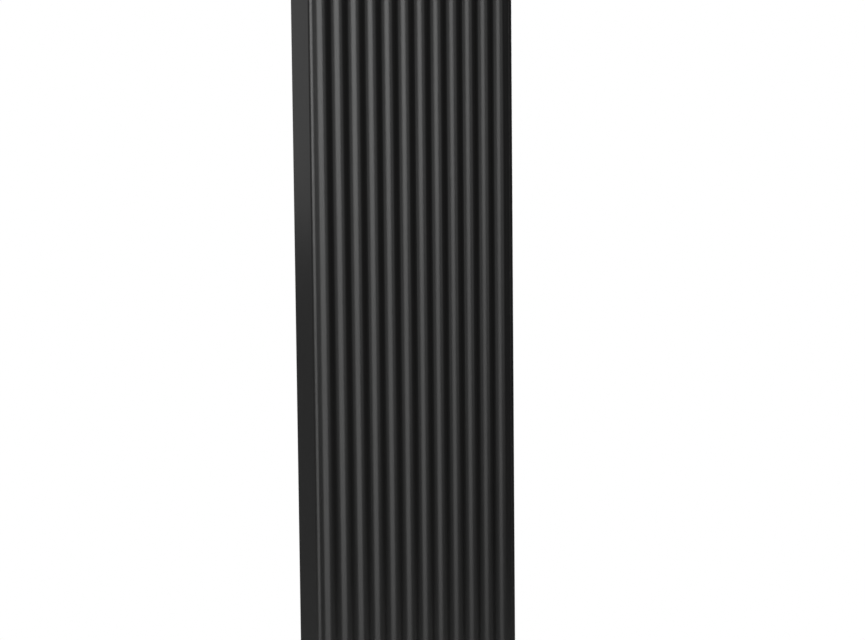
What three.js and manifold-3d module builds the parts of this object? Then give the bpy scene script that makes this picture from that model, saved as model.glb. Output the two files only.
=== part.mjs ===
// A tall vertical radiator of four fluted aluminium elements between two side panels. It hangs on
// two wall rails and is fed from below by a thermostatic valve block with a turning head.
// Millimetres, +Z up, the front faces -Y. The wall is the plane y = 0, and the origin is the
// centre of the lower wall rail's back face.
import * as THREE from "three";
import { mergeVertices } from "three/addons/utils/BufferGeometryUtils.js";
import Module from "manifold-3d";

const wasm = await Module();
wasm.setup();

// ---------- driving dimensions ----------

const GAP = 0.3; // between pieces that touch
const SHEET = 2; // thickness of the fluted skin and of the side panels
const SIDES = 16; // sides of an ordinary round piece
const FINE_SIDES = 24; // and of a large one

// the casing
const ELEMENTS = 4;
const RIBS_PER_ELEMENT = 3;
const RIB_PITCH = 25;
const RIB_DEPTH = 5;
const STEPS_PER_RIB = 10;
const CORNER_RADIUS = 7;
const LAND = 0.5; // flat strip between a rounded corner and the first valley
const PANEL_DEPTH = 85;
const WALL_GAP = 25;
const HEIGHT = 1800;
const BOTTOM_Z = -100;
const PANEL_RETURN = 10; // width of the flange along a side panel's rear edge
const VENT_HOLE_RADIUS = 15;

// the water side
const PIPE_Y = -80; // headers, water tubes and valve all centre on this plane
const TUBE = { width: 40, depth: 16, wall: 2, corner: 5 };
const HEADER = { depth: 36, height: 34, wall: 2.5, corner: 7, half: 138 };
const BOTTOM_INSET = 10; // casing's lower edge to the bottom header
const TOP_INSET = 45; // top header to the casing's upper edge, with room for the grille
const CAP_THICKNESS = 4;
const CAP_SPIGOT = 5;
const VENT_BORE = 10.5; // radius of the hole for the vent in one cap
const WEB = 2;
const FIN_X = RIB_PITCH / 2;
const FIN_REAR_Y = -34;
const FIN_FOOT = 8; // how far a fin's foot reaches to each side
const BAFFLE = 3;

// wall rails, lugs and their screws
const RAIL_SPACING = 1600;
const RAIL_HALF = 135;
const RAIL_HALF_HEIGHT = 25;
const RAIL_SHEET = 2.5;
const LIP_Y = -18.5;
const LIP_TOP = 14;
const SLOT = { x: 80, length: 20, width: 8 };
const LUG_X = 112.5;
const LUG_HALF = 22;
const LUG_SHELF = 16.3; // height of the lug's shelf above the rail's centre
const PAD_HALF = 20;
const LEVEL_Y = -9.5;

// the valve: everything is placed from the crossing of its two centre planes
const PORT_SPACING = 50;
const VALVE_Z = -134;
const BLOCK = { halfX: 41, halfY: 17, top: 12, bottom: -42 };
const WATERWAY = 6; // radius
const PLUG_Z = -29; // axis of the quarter-turn plugs
const SEAT_X = 17;
const SEAT = { chamber: 6.5, hole: 5.5, disc: 8 }; // radii
const INSERT = { sleeve: 9.2, thread: 15, pocket: 7, pin: 2.5, collar: 5.5 }; // radii
const TRAVEL = 2.4; // of the valve disc, closed to open
const HEAD_X = 56.3; // where the head's base meets the insert

const TOP_Z = BOTTOM_Z + HEIGHT;
const ELEMENT_WIDTH = RIB_PITCH * RIBS_PER_ELEMENT;
const FLUTED_HALF = (ELEMENT_WIDTH * ELEMENTS) / 2;
const HALF_WIDTH = FLUTED_HALF + LAND + CORNER_RADIUS;
const REAR_Y = -WALL_GAP;
const VALLEY_Y = REAR_Y - PANEL_DEPTH;
const BOTTOM_HEADER_Z = BOTTOM_Z + BOTTOM_INSET + HEADER.height / 2;
const TOP_HEADER_Z = TOP_Z - TOP_INSET - HEADER.height / 2;
const PORT_X = PORT_SPACING / 2;

// ---------- materials ----------

const coat = { color: "#2b2b2c", roughness: 0.42, metalness: 0.0 };
const MATERIALS = {
  casing: new THREE.MeshStandardMaterial(coat),
  waterSide: new THREE.MeshStandardMaterial({ ...coat, roughness: 0.5 }),
  steel: new THREE.MeshStandardMaterial({ color: "#8f9294", roughness: 0.4, metalness: 1 }),
  blackSteel: new THREE.MeshStandardMaterial({ color: "#232324", roughness: 0.6 }),
  nickel: new THREE.MeshStandardMaterial({ color: "#b9b6ae", roughness: 0.22, metalness: 1 }),
  brass: new THREE.MeshStandardMaterial({ color: "#b08d4a", roughness: 0.3, metalness: 1 }),
  rubber: new THREE.MeshStandardMaterial({ color: "#161616", roughness: 0.8 }),
  plastic: new THREE.MeshStandardMaterial({ color: "#1b1b1c", roughness: 0.5 }),
  padding: new THREE.MeshStandardMaterial({ color: "#d9d8d2", roughness: 0.6 }),
};

// ---------- making and combining shapes ----------

function toSolid(geometry) {
  const bare = geometry.clone();
  bare.deleteAttribute("normal");
  bare.deleteAttribute("uv");
  const merged = mergeVertices(bare, 1e-4);
  return new wasm.Manifold(
    new wasm.Mesh({
      numProp: 3,
      vertProperties: new Float32Array(merged.attributes.position.array),
      triVerts: new Uint32Array(merged.index.array),
    }),
  );
}

function toGeometry(solid) {
  const mesh = solid.getMesh();
  return new THREE.BufferGeometry()
    .setAttribute("position", new THREE.BufferAttribute(mesh.vertProperties, 3))
    .setIndex(new THREE.BufferAttribute(mesh.triVerts, 1));
}

function join(...geometries) {
  return toGeometry(geometries.map(toSolid).reduce((whole, next) => whole.add(next)));
}

function cut(geometry, ...tools) {
  const rest = (left, tool) => left.subtract(toSolid(tool));
  return toGeometry(tools.reduce(rest, toSolid(geometry)));
}

function block([x0, x1], [y0, y1], [z0, z1]) {
  const box = new THREE.BoxGeometry(x1 - x0, y1 - y0, z1 - z0);
  return box.translate((x0 + x1) / 2, (y0 + y1) / 2, (z0 + z1) / 2);
}

// Turns a shape made around +Y so that it runs along the named axis.
function alongAxis(geometry, axis) {
  if (axis === "x") geometry.rotateZ(-Math.PI / 2);
  if (axis === "z") geometry.rotateX(Math.PI / 2);
  return geometry;
}

// A round or hexagonal bar from one station to another along an axis.
function rod(axis, radius, [from, to], [x, y, z] = [0, 0, 0], sides = SIDES) {
  const bar = new THREE.CylinderGeometry(radius, radius, to - from, sides);
  return alongAxis(bar.translate(0, (from + to) / 2, 0), axis).translate(x, y, z);
}

function hexagon(axis, acrossFlats, span, at) {
  return rod(axis, acrossFlats / Math.sqrt(3), span, at, 6);
}

// A solid of revolution: its outline lists [radius, station] pairs around the section.
function turned(axis, outline, sides = SIDES) {
  const points = outline.map(([radius, station]) => new THREE.Vector2(radius, station));
  if (THREE.ShapeUtils.area(points) < 0) points.reverse();
  const onAxis = points[0].x === 0 && points.at(-1).x === 0;
  if (!onAxis) points.push(points[0].clone());
  return alongAxis(new THREE.LatheGeometry(points, sides), axis);
}

function tube(axis, inner, outer, [from, to], sides = SIDES) {
  const outline = [[inner, from], [outer, from], [outer, to], [inner, to]];
  return turned(axis, outline, sides);
}

// A plan outline of [x, y] points, raised from one height to another.
function upright(outline, [z0, z1]) {
  const shape = new THREE.Shape(outline.map(([x, y]) => new THREE.Vector2(x, y)));
  const settings = { depth: z1 - z0, bevelEnabled: false };
  return new THREE.ExtrudeGeometry(shape, settings).translate(0, 0, z0);
}

// A side-view outline of [y, z] points, drawn out along X.
function lengthways(outline, [x0, x1]) {
  const cycle = new THREE.Matrix4().makeBasis(
    new THREE.Vector3(0, 1, 0),
    new THREE.Vector3(0, 0, 1),
    new THREE.Vector3(1, 0, 0),
  );
  return upright(outline, [x0, x1]).applyMatrix4(cycle);
}

// A rectangle with round corners, centred on the origin.
function roundedRectangle(width, height, radius, steps = 3) {
  const points = [];
  const centres = [[1, 1], [-1, 1], [-1, -1], [1, -1]];
  centres.forEach(([signX, signY], corner) => {
    for (let i = 0; i <= steps; i++) {
      const angle = ((corner + i / steps) * Math.PI) / 2;
      points.push([
        signX * (width / 2 - radius) + radius * Math.cos(angle),
        signY * (height / 2 - radius) + radius * Math.sin(angle),
      ]);
    }
  });
  return points;
}

class Helix extends THREE.Curve {
  constructor(radius, turns, [from, to]) {
    super();
    Object.assign(this, { radius, turns, from, to });
  }
  getPoint(t, target = new THREE.Vector3()) {
    const angle = 2 * Math.PI * this.turns * t;
    return target.set(
      this.from + (this.to - this.from) * t,
      this.radius * Math.cos(angle),
      this.radius * Math.sin(angle),
    );
  }
}

// A coil spring along X, of round wire with six sides.
function coilSpring(radius, wire, turns, [from, to]) {
  const section = new THREE.Shape();
  section.absarc(0, 0, wire / 2, 0, 2 * Math.PI);
  const path = new Helix(radius, turns, [from + wire / 2, to - wire / 2]);
  const settings = { steps: turns * 10, curveSegments: 3, bevelEnabled: false, extrudePath: path };
  return new THREE.ExtrudeGeometry(section, settings);
}

// ---------- the scene graph ----------

const radiator = new THREE.Group();

function group(parent, x, y, z) {
  const made = new THREE.Group();
  made.position.set(x, y, z);
  parent.add(made);
  return made;
}

function piece(parent, name, geometry, material, [x, y, z] = [0, 0, 0]) {
  const mesh = new THREE.Mesh(geometry, MATERIALS[material]);
  mesh.name = name;
  mesh.position.set(x, y, z);
  parent.add(mesh);
}

const PAIR = [["left", -1], ["right", 1]];

// ---------- fluted elements ----------

function waveY(x) {
  return VALLEY_Y - (RIB_DEPTH / 2) * (1 + Math.cos((2 * Math.PI * x) / RIB_PITCH));
}

function flutedSkin() {
  const half = (ELEMENT_WIDTH - GAP) / 2;
  const steps = RIBS_PER_ELEMENT * STEPS_PER_RIB;
  const front = [];
  for (let i = 0; i <= steps; i++) {
    const x = -half + (2 * half * i) / steps;
    front.push([x, waveY(x)]);
  }
  const back = front.map(([x, y]) => [x, y + SHEET]).reverse();
  return upright([...front, ...back], [BOTTOM_Z, TOP_Z]);
}

// Water tube, the webs that carry the skin, and the convector fins: shorter than the skin by the
// headers at both ends.
function elementCore() {
  const span = [
    BOTTOM_HEADER_Z + HEADER.height / 2 + GAP,
    TOP_HEADER_Z - HEADER.height / 2 - GAP,
  ];
  const shifted = (outline) => outline.map(([x, y]) => [x, y + PIPE_Y]);
  const outer = roundedRectangle(TUBE.width, TUBE.depth, TUBE.corner);
  const bore = roundedRectangle(
    TUBE.width - 2 * TUBE.wall,
    TUBE.depth - 2 * TUBE.wall,
    TUBE.corner - TUBE.wall,
  );
  const ribs = [-FIN_X, FIN_X].flatMap((x) => {
    const web = [x - WEB / 2, x + WEB / 2];
    const tubeFront = PIPE_Y - TUBE.depth / 2;
    const tubeRear = PIPE_Y + TUBE.depth / 2;
    return [
      block(web, [VALLEY_Y + SHEET / 2, tubeFront + TUBE.wall / 2], span),
      block(web, [tubeRear - TUBE.wall / 2, FIN_REAR_Y], span),
      block([x - FIN_FOOT, x + FIN_FOOT], [FIN_REAR_Y - WEB, FIN_REAR_Y], span),
    ];
  });
  const waterway = upright(shifted(bore), [span[0] - 1, span[1] + 1]);
  return cut(join(upright(shifted(outer), span), ...ribs), waterway);
}

function elements(parent) {
  const profile = join(flutedSkin(), elementCore());
  for (let i = 0; i < ELEMENTS; i++) {
    const x = (i - (ELEMENTS - 1) / 2) * ELEMENT_WIDTH;
    piece(parent, `element_${i + 1}`, profile, "casing", [x, 0, 0]);
  }
}

// ---------- headers ----------

function headerTube(slotSide) {
  const outer = roundedRectangle(HEADER.depth, HEADER.height, HEADER.corner);
  const inner = roundedRectangle(
    HEADER.depth - 2 * HEADER.wall,
    HEADER.height - 2 * HEADER.wall,
    HEADER.corner - HEADER.wall,
  );
  const slots = [];
  for (let i = 0; i < ELEMENTS; i++) {
    const x = (i - (ELEMENTS - 1) / 2) * ELEMENT_WIDTH;
    const half = TUBE.width / 2 - TUBE.wall - 2;
    const wallZ = (slotSide * HEADER.height) / 2;
    slots.push(block([x - half, x + half], [-5, 5], [wallZ - 5, wallZ + 5]));
  }
  const long = [-HEADER.half, HEADER.half];
  const bore = lengthways(inner, [-HEADER.half - 1, HEADER.half + 1]);
  return cut(lengthways(outer, long), bore, ...slots);
}

const PORT = { boss: 13, bore: 9.5, drop: 7 };

function bottomHeader() {
  const floor = -HEADER.height / 2;
  const depth = [floor - PORT.drop, floor + HEADER.wall / 2];
  const places = PAIR.map(([, side]) => [side * PORT_X, 0, 0]);
  const bosses = places.map((at) => rod("z", PORT.boss, depth, at));
  const bores = places.map((at) => rod("z", PORT.bore, [depth[0] - 1, floor + 5], at));
  return cut(join(headerTube(1), ...bosses), ...bores);
}

// A block that fits inside a header, from one station to another.
function headerFilling(span) {
  const inside = 2 * (HEADER.wall + GAP);
  const corner = HEADER.corner - HEADER.wall;
  return lengthways(roundedRectangle(HEADER.depth - inside, HEADER.height - inside, corner), span);
}

// An end cap: a plate over the tube's end with a spigot inside it. The caps point along +X.
function headerCap(bored) {
  const outer = roundedRectangle(HEADER.depth, HEADER.height, HEADER.corner);
  const cap = join(
    lengthways(outer, [GAP, GAP + CAP_THICKNESS]),
    headerFilling([-CAP_SPIGOT, GAP + CAP_THICKNESS / 2]),
  );
  return bored ? cut(cap, rod("x", VENT_BORE, [-CAP_SPIGOT - 1, CAP_THICKNESS + 1])) : cap;
}

function headers(parent) {
  const levels = [
    ["top", TOP_HEADER_Z, headerTube(-1)],
    ["bottom", BOTTOM_HEADER_Z, bottomHeader()],
  ];
  for (const [level, z, header] of levels) {
    const at = group(parent, 0, PIPE_Y, z);
    piece(at, `${level}_header`, header, "waterSide");
    for (const [side, sign] of PAIR) {
      const end = group(at, sign * HEADER.half, 0, 0);
      if (sign < 0) end.rotation.z = Math.PI;
      const bored = level === "top" && side === "right";
      piece(end, `${level}_${side}_header_cap`, headerCap(bored), "waterSide");
    }
    if (level === "bottom") {
      piece(at, "flow_baffle", headerFilling([-BAFFLE / 2, BAFFLE / 2]), "steel");
    }
  }
}

// ---------- side panels, their clips and the grille ----------

function panelOutline(side) {
  const path = new THREE.Path();
  const cornerX = HALF_WIDTH - CORNER_RADIUS;
  const cornerY = VALLEY_Y + CORNER_RADIUS;
  path.moveTo(HALF_WIDTH - PANEL_RETURN, REAR_Y);
  path.lineTo(HALF_WIDTH, REAR_Y);
  path.lineTo(HALF_WIDTH, cornerY);
  path.absarc(cornerX, cornerY, CORNER_RADIUS, 0, -Math.PI / 2, true);
  path.lineTo(FLUTED_HALF + GAP / 2, VALLEY_Y);
  path.lineTo(FLUTED_HALF + GAP / 2, VALLEY_Y + SHEET);
  path.lineTo(cornerX, VALLEY_Y + SHEET);
  path.absarc(cornerX, cornerY, CORNER_RADIUS - SHEET, -Math.PI / 2, 0, false);
  path.lineTo(HALF_WIDTH - SHEET, REAR_Y - SHEET);
  path.lineTo(HALF_WIDTH - PANEL_RETURN, REAR_Y - SHEET);
  return path.getPoints(4).map(({ x, y }) => [side * x, y]);
}

function sidePanels(parent) {
  for (const [side, sign] of PAIR) {
    const sheet = upright(panelOutline(sign), [BOTTOM_Z, TOP_Z]);
    const span = [HALF_WIDTH - SHEET - 1, HALF_WIDTH + 1];
    const hole = rod("x", VENT_HOLE_RADIUS, span, [0, PIPE_Y, TOP_HEADER_Z], FINE_SIDES);
    piece(parent, `${side}_side_panel`, side === "right" ? cut(sheet, hole) : sheet, "casing");
  }
}

const CLIP = { sheet: 1.5, half: 10, foot: 118 };

// An angle of spring steel between a header and a side panel, made for the right-hand side.
function panelClip(rise) {
  const reach = HALF_WIDTH - SHEET - GAP;
  const across = [-CLIP.half, CLIP.half];
  return join(
    block([CLIP.foot, reach], across, [GAP, GAP + CLIP.sheet]),
    block([reach - CLIP.sheet, reach], across, [GAP, rise]),
  );
}

function panelClips(parent) {
  const levels = [
    ["top", 0, TOP_HEADER_Z + HEADER.height / 2, 15],
    ["bottom", Math.PI, BOTTOM_HEADER_Z - HEADER.height / 2, 9],
  ];
  for (const [level, upsideDown, z, rise] of levels) {
    for (const [side, sign] of PAIR) {
      const at = group(parent, 0, PIPE_Y, z);
      at.rotation.x = upsideDown;
      if (sign < 0) at.rotation.z = Math.PI;
      piece(at, `${level}_${side}_panel_clip`, panelClip(rise), "steel");
    }
  }
}

const GRILLE = { sheet: 1.5, inset: 2, slotWidth: 8, legX: 50, legHalf: 8 };
const GRILLE_ROWS = [[-102, -70], [-62, -33]];

function topGrille() {
  const clear = 2 * GAP;
  const halfWidth = HALF_WIDTH - SHEET - clear;
  const sideFront = VALLEY_Y + CORNER_RADIUS + clear;
  const steps = ELEMENTS * RIBS_PER_ELEMENT * STEPS_PER_RIB;
  const front = [];
  for (let i = 0; i <= steps; i++) {
    const x = -FLUTED_HALF + (2 * FLUTED_HALF * i) / steps;
    front.push([x, waveY(x + RIB_PITCH / 2) + SHEET + clear]);
  }
  const rear = REAR_Y - SHEET - clear;
  const outline = [[-halfWidth, rear], [-halfWidth, sideFront], ...front];
  outline.push([halfWidth, sideFront], [halfWidth, rear]);
  const top = TOP_Z - GRILLE.inset;
  const plate = upright(outline, [top - GRILLE.sheet, top]);
  const slots = [];
  for (let i = 0; i < ELEMENTS * RIBS_PER_ELEMENT; i++) {
    const x = -FLUTED_HALF + (i + 0.5) * RIB_PITCH;
    const wide = [x - GRILLE.slotWidth / 2, x + GRILLE.slotWidth / 2];
    for (const row of GRILLE_ROWS) slots.push(block(wide, row, [top - 5, top + 5]));
  }
  const headerTop = TOP_HEADER_Z + HEADER.height / 2;
  const legs = PAIR.map(([, sign]) =>
    block(
      [sign * GRILLE.legX - 1, sign * GRILLE.legX + 1],
      [PIPE_Y - GRILLE.legHalf, PIPE_Y + GRILLE.legHalf],
      [headerTop + GAP, top - GRILLE.sheet / 2],
    ),
  );
  return join(cut(plate, ...slots), ...legs);
}

// ---------- wall rails, lugs, pads and levelling screws ----------

function wallRail() {
  const outline = [
    [0, -RAIL_HALF_HEIGHT],
    [0, RAIL_HALF_HEIGHT],
    [-RAIL_SHEET, RAIL_HALF_HEIGHT],
    [-RAIL_SHEET, RAIL_SHEET],
    [LIP_Y, RAIL_SHEET],
    [LIP_Y, LIP_TOP],
    [LIP_Y - RAIL_SHEET, LIP_TOP],
    [LIP_Y - RAIL_SHEET, 0],
    [-RAIL_SHEET, 0],
    [-RAIL_SHEET, -RAIL_HALF_HEIGHT],
  ];
  const slotZ = -RAIL_HALF_HEIGHT / 2;
  const slots = PAIR.map(([, sign]) => {
    const x = sign * SLOT.x;
    const ends = [x - SLOT.length / 2, x + SLOT.length / 2];
    const tall = [slotZ - SLOT.width / 2, slotZ + SLOT.width / 2];
    return block(ends, [-RAIL_SHEET - 1, 1], tall);
  });
  return cut(lengthways(outline, [-RAIL_HALF, RAIL_HALF]), ...slots);
}

const LUG = { sheet: 2.5, low: -30, hookY: -16, hookLow: 4, wallEnd: -5 };
const LEVEL_SCREW = { radius: 3, head: 5, socket: 4 };

// An L of steel on the fins' feet, with a hook that drops behind the rail's lip.
function lug(levelling) {
  const front = FIN_REAR_Y + GAP;
  const top = LUG_SHELF + LUG.sheet;
  const wallEnd = levelling ? LUG.wallEnd : LUG.hookY + LUG.sheet;
  const outline = [
    [front, LUG.low],
    [front + LUG.sheet, LUG.low],
    [front + LUG.sheet, LUG_SHELF],
    [LUG.hookY, LUG_SHELF],
    [LUG.hookY, LUG.hookLow],
    [LUG.hookY + LUG.sheet, LUG.hookLow],
    [LUG.hookY + LUG.sheet, levelling ? LUG_SHELF : top],
    [wallEnd, levelling ? LUG_SHELF : top],
    [wallEnd, top],
    [front, top],
  ].filter((point, i, all) => i === 0 || point.join() !== all[i - 1].join());
  const bent = lengthways(outline, [-LUG_HALF, LUG_HALF]);
  if (!levelling) return bent;
  return cut(bent, rod("z", LEVEL_SCREW.radius + GAP, [LUG_SHELF - 1, top + 1], [0, LEVEL_Y, 0]));
}

// A plastic cap over the rail's lip, under the lug.
function railPad() {
  const wall = 1.2;
  const inFront = LIP_Y - RAIL_SHEET - GAP;
  const behind = LIP_Y + GAP;
  const under = LIP_TOP + GAP;
  const outline = [
    [inFront, RAIL_SHEET + 1],
    [inFront, under],
    [behind, under],
    [behind, RAIL_SHEET + GAP],
    [behind + wall, RAIL_SHEET + GAP],
    [behind + wall, under + wall],
    [inFront - wall, under + wall],
    [inFront - wall, RAIL_SHEET + 1],
  ];
  return lengthways(outline, [-PAD_HALF, PAD_HALF]);
}

// The screw stands on the rail's shelf and carries the lug, so turning it levels the radiator.
function levellingScrew() {
  const foot = RAIL_SHEET + GAP;
  const top = LUG_SHELF + LUG.sheet;
  const shank = rod("z", LEVEL_SCREW.radius, [foot, top + 6]);
  const head = rod("z", LEVEL_SCREW.head, [top + 4, top + 9]);
  const socket = hexagon("z", LEVEL_SCREW.socket, [top + 6, top + 10]);
  return cut(join(shank, head), socket);
}

function wallFixings(parent) {
  const levels = [["lower", 0], ["upper", RAIL_SPACING]];
  for (const [level, z] of levels) {
    const at = group(parent, 0, 0, z);
    const levelling = level === "upper";
    piece(at, `${level}_wall_rail`, wallRail(), "blackSteel");
    for (const [side, sign] of PAIR) {
      const x = sign * LUG_X;
      piece(at, `${level}_${side}_lug`, lug(levelling), "blackSteel", [x, 0, 0]);
      piece(at, `${level}_${side}_rail_pad`, railPad(), "padding", [x, 0, 0]);
      if (levelling) {
        piece(at, `${side}_levelling_screw`, levellingScrew(), "steel", [x, LEVEL_Y, 0]);
      }
    }
  }
}

// ---------- air vent, along +X from the bored header cap ----------

const VENT_THREAD = 10.2; // radii
const VENT_COLLAR = 11;
const VENT_NECK = 7;
const VENT_SCREW = 4;
const VENT_DUCT = 1.2;
const VENT_SEAL = [CAP_THICKNESS + 2 * GAP, CAP_THICKNESS + 2 * GAP + 0.9];
const VENT_HEX = [VENT_SEAL[1] + GAP, VENT_SEAL[1] + GAP + 3.3];
const VENT_RING = [VENT_HEX[1] + GAP, VENT_HEX[1] + GAP + 4.9];
const VENT_LIP = [VENT_RING[1] + GAP, VENT_RING[1] + GAP + 0.8];
const VENT_SEAT = 3;

function ventPlug() {
  const bolt = join(
    rod("x", VENT_THREAD, [-8, VENT_HEX[0] + 1]),
    rod("x", VENT_COLLAR, [CAP_THICKNESS + 2 * GAP, VENT_HEX[0] + 1]),
    hexagon("x", 24, VENT_HEX),
    rod("x", VENT_NECK, [VENT_HEX[1] - 1, VENT_LIP[1]]),
    rod("x", VENT_NECK + 1, VENT_LIP),
  );
  const middle = (VENT_RING[0] + VENT_RING[1]) / 2;
  return cut(
    bolt,
    rod("x", VENT_SCREW + GAP, [VENT_SEAT, VENT_LIP[1] + 1]),
    rod("x", VENT_DUCT, [-9, VENT_SEAT + 1], [0, 0, 0], 8),
    rod("z", VENT_DUCT, [-VENT_NECK - 1, 0], [middle, 0, 0], 8),
  );
}

// A cone-ended screw with a square for the vent key.
function ventScrew() {
  const tip = VENT_SEAT + 0.5;
  const outline = [[0, tip], [VENT_DUCT, tip], [VENT_SCREW, tip + 3], [VENT_SCREW, 13], [0, 13]];
  return join(turned("x", outline), block([12, 16.2], [-2.5, 2.5], [-2.5, 2.5]));
}

function ventNozzleRing() {
  const middle = (VENT_RING[0] + VENT_RING[1]) / 2;
  const ring = tube("x", VENT_NECK + GAP, 10.4, VENT_RING);
  const spout = rod("z", 2.2, [-14, -9], [middle, 0, 0], 8);
  return cut(join(ring, spout), rod("z", VENT_DUCT, [-15, 0], [middle, 0, 0], 8));
}

function airVent(parent) {
  const at = group(parent, HEADER.half, PIPE_Y, TOP_HEADER_Z);
  piece(at, "vent_plug", ventPlug(), "nickel");
  piece(at, "vent_seal", tube("x", VENT_COLLAR + GAP, 13, VENT_SEAL), "rubber");
  piece(at, "vent_screw", ventScrew(), "brass");
  piece(at, "vent_nozzle_ring", ventNozzleRing(), "plastic");
}

// ---------- unions between the bottom header and the valve block ----------

const UNION = { collar: 12.5, collarTop: 22.5, collarLow: 17.3, neck: 9, bore: 6.5, thread: 13 };
const UNION_SEAL = { inner: 7.5, outer: 12, depth: 1.4 };
const UNION_NUT = { acrossFlats: 30, floor: 2.5, top: 31.5 };
const NIPPLE_HEX = { acrossFlats: 26, height: 4 };

// Heights in these functions are above the valve's centre.
function nipple() {
  const portFoot = BOTTOM_HEADER_Z - HEADER.height / 2 - PORT.drop - VALVE_Z;
  const hexTop = portFoot - GAP;
  const hexFoot = hexTop - NIPPLE_HEX.height;
  const body = join(
    rod("z", PORT.bore - GAP, [hexTop - 1, portFoot + 10]),
    hexagon("z", NIPPLE_HEX.acrossFlats, [hexFoot, hexTop]),
    rod("z", UNION.thread, [UNION.collarTop + UNION_SEAL.depth, hexFoot + 1]),
  );
  return cut(body, rod("z", UNION.bore, [UNION.collarTop, portFoot + 12]));
}

function unionNut() {
  const foot = UNION.collarLow - UNION_NUT.floor;
  const nut = hexagon("z", UNION_NUT.acrossFlats, [foot, UNION_NUT.top]);
  const thread = rod("z", UNION.thread + GAP, [UNION.collarLow - GAP, UNION_NUT.top + 1]);
  const neck = rod("z", UNION.neck + GAP, [foot - 1, UNION.collarLow]);
  return cut(nut, thread, neck);
}

function unions(valve) {
  for (const [side, sign] of PAIR) {
    const at = [sign * PORT_X, 0, 0];
    const sealSpan = [UNION.collarTop + GAP, UNION.collarTop + UNION_SEAL.depth - GAP];
    const seal = tube("z", UNION_SEAL.inner, UNION_SEAL.outer, sealSpan);
    piece(valve, `${side}_nipple`, nipple(), "nickel", at);
    piece(valve, `${side}_union_nut`, unionNut(), "nickel", at);
    piece(valve, `${side}_union_seal`, seal, "rubber", at);
  }
}

// ---------- valve block ----------

const FOOT = { low: -56, radius: 13, socket: 8.5, socketTop: -46 };
const PLUG = { radius: 8, front: -11.7, rear: 8, stem: 6, stemFront: -18.5 };
const STEM_SEAL = [-13.7, -12];
const GLAND = { radius: 10.5, rear: -14, front: -17.5 };

function valveBody() {
  const { halfX, halfY, top, bottom } = BLOCK;
  const plan = roundedRectangle(2 * halfX, 2 * halfY, 5, 4);
  const outside = [upright(plan, [bottom, top])];
  const ways = [];
  for (const [, sign] of PAIR) {
    const at = [sign * PORT_X, 0, 0];
    outside.push(
      rod("z", UNION.neck, [top - 1, UNION.collarLow + 1], at),
      rod("z", UNION.collar, [UNION.collarLow, UNION.collarTop], at),
      rod("z", FOOT.radius, [FOOT.low, bottom + 1], at),
    );
    const plugAt = [sign * PORT_X, 0, PLUG_Z];
    ways.push(
      rod("z", FOOT.socket, [FOOT.low - 1, FOOT.socketTop], at),
      rod("y", PLUG.radius + GAP, [-halfY - 1, PLUG.rear + GAP], plugAt),
      rod("y", GLAND.radius + GAP, [-halfY - 1, GLAND.rear], plugAt),
    );
  }
  const right = [PORT_X, 0, 0];
  const below = -13.5; // roof of the passage that leads under the insert to the seat
  ways.push(
    rod("z", WATERWAY, [FOOT.low - 1, UNION.collarTop + 1], [-PORT_X, 0, 0]),
    rod("z", WATERWAY, [0, UNION.collarTop + 1], right),
    rod("z", WATERWAY, [FOOT.low - 1, below], right),
    block([4, PORT_X], [-WATERWAY, WATERWAY], [below - WATERWAY, below]),
    block([4, SEAT_X - 4], [-5, 5], [below - 1, 0]),
    rod("x", SEAT.chamber, [3, SEAT_X - 3]),
    rod("x", SEAT.hole, [4, SEAT_X + 1]),
    rod("x", INSERT.sleeve + GAP, [SEAT_X, halfX + 1]),
  );
  return cut(join(...outside), ...ways);
}

// A quarter-turn cock: a cylinder with a cross bore, and a slot for a screwdriver in its stem.
function isolatorPlug() {
  const solid = join(
    rod("y", PLUG.radius, [PLUG.front, PLUG.rear]),
    rod("y", PLUG.stem, [PLUG.stemFront, PLUG.front + 1]),
  );
  const crossBore = rod("z", WATERWAY - 0.5, [-PLUG.radius - 1, PLUG.radius + 1]);
  const slot = block([-0.8, 0.8], [PLUG.stemFront - 1, PLUG.stemFront + 2], [-7, 7]);
  return cut(solid, crossBore, slot);
}

function glandRing() {
  const ring = tube("y", PLUG.stem + GAP, GLAND.radius, [GLAND.front, GLAND.rear - GAP]);
  const notch = block([-12, 12], [GLAND.front - 1, GLAND.front + 1.5], [-1, 1]);
  return cut(ring, notch);
}

// ---------- thermostatic insert, along +X from the valve's centre ----------

const COLLAR = 2; // thickness of the spindle's collar, which stops short of the gland when open
const COLLAR_X = HEAD_X - TRAVEL - COLLAR - 0.9;
const PIN_END = 64;

function insertBody() {
  const { halfX } = BLOCK;
  const body = join(
    rod("x", INSERT.sleeve, [30, halfX + 1]),
    hexagon("x", 27, [halfX + GAP, 46]),
    rod("x", INSERT.thread, [45.5, HEAD_X - GAP]),
  );
  return cut(
    body,
    rod("x", INSERT.pin + GAP, [29, 41]),
    rod("x", INSERT.pocket, [40, HEAD_X + 1]),
  );
}

function insertSpindle() {
  const outline = [
    [0, 20.6],
    [6, 20.6],
    [6, 22],
    [INSERT.pin, 22],
    [INSERT.pin, COLLAR_X],
    [INSERT.collar, COLLAR_X],
    [INSERT.collar, COLLAR_X + COLLAR],
    [INSERT.pin, COLLAR_X + COLLAR],
    [INSERT.pin, PIN_END],
    [0, PIN_END],
  ];
  return turned("x", outline);
}

function insertGland() {
  return tube("x", INSERT.pin + GAP, INSERT.pocket - GAP, [HEAD_X + GAP, 61]);
}

function insert(valve) {
  piece(valve, "insert_body", insertBody(), "brass");
  piece(valve, "insert_spindle", insertSpindle(), "steel");
  piece(valve, "valve_disc", rod("x", SEAT.disc, [SEAT_X + GAP, 20.3]), "rubber");
  const spring = coilSpring(4.6, 1, 5, [40 + GAP, COLLAR_X - GAP]);
  piece(valve, "insert_spring", spring, "steel");
  piece(valve, "insert_gland", insertGland(), "brass");
}

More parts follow.
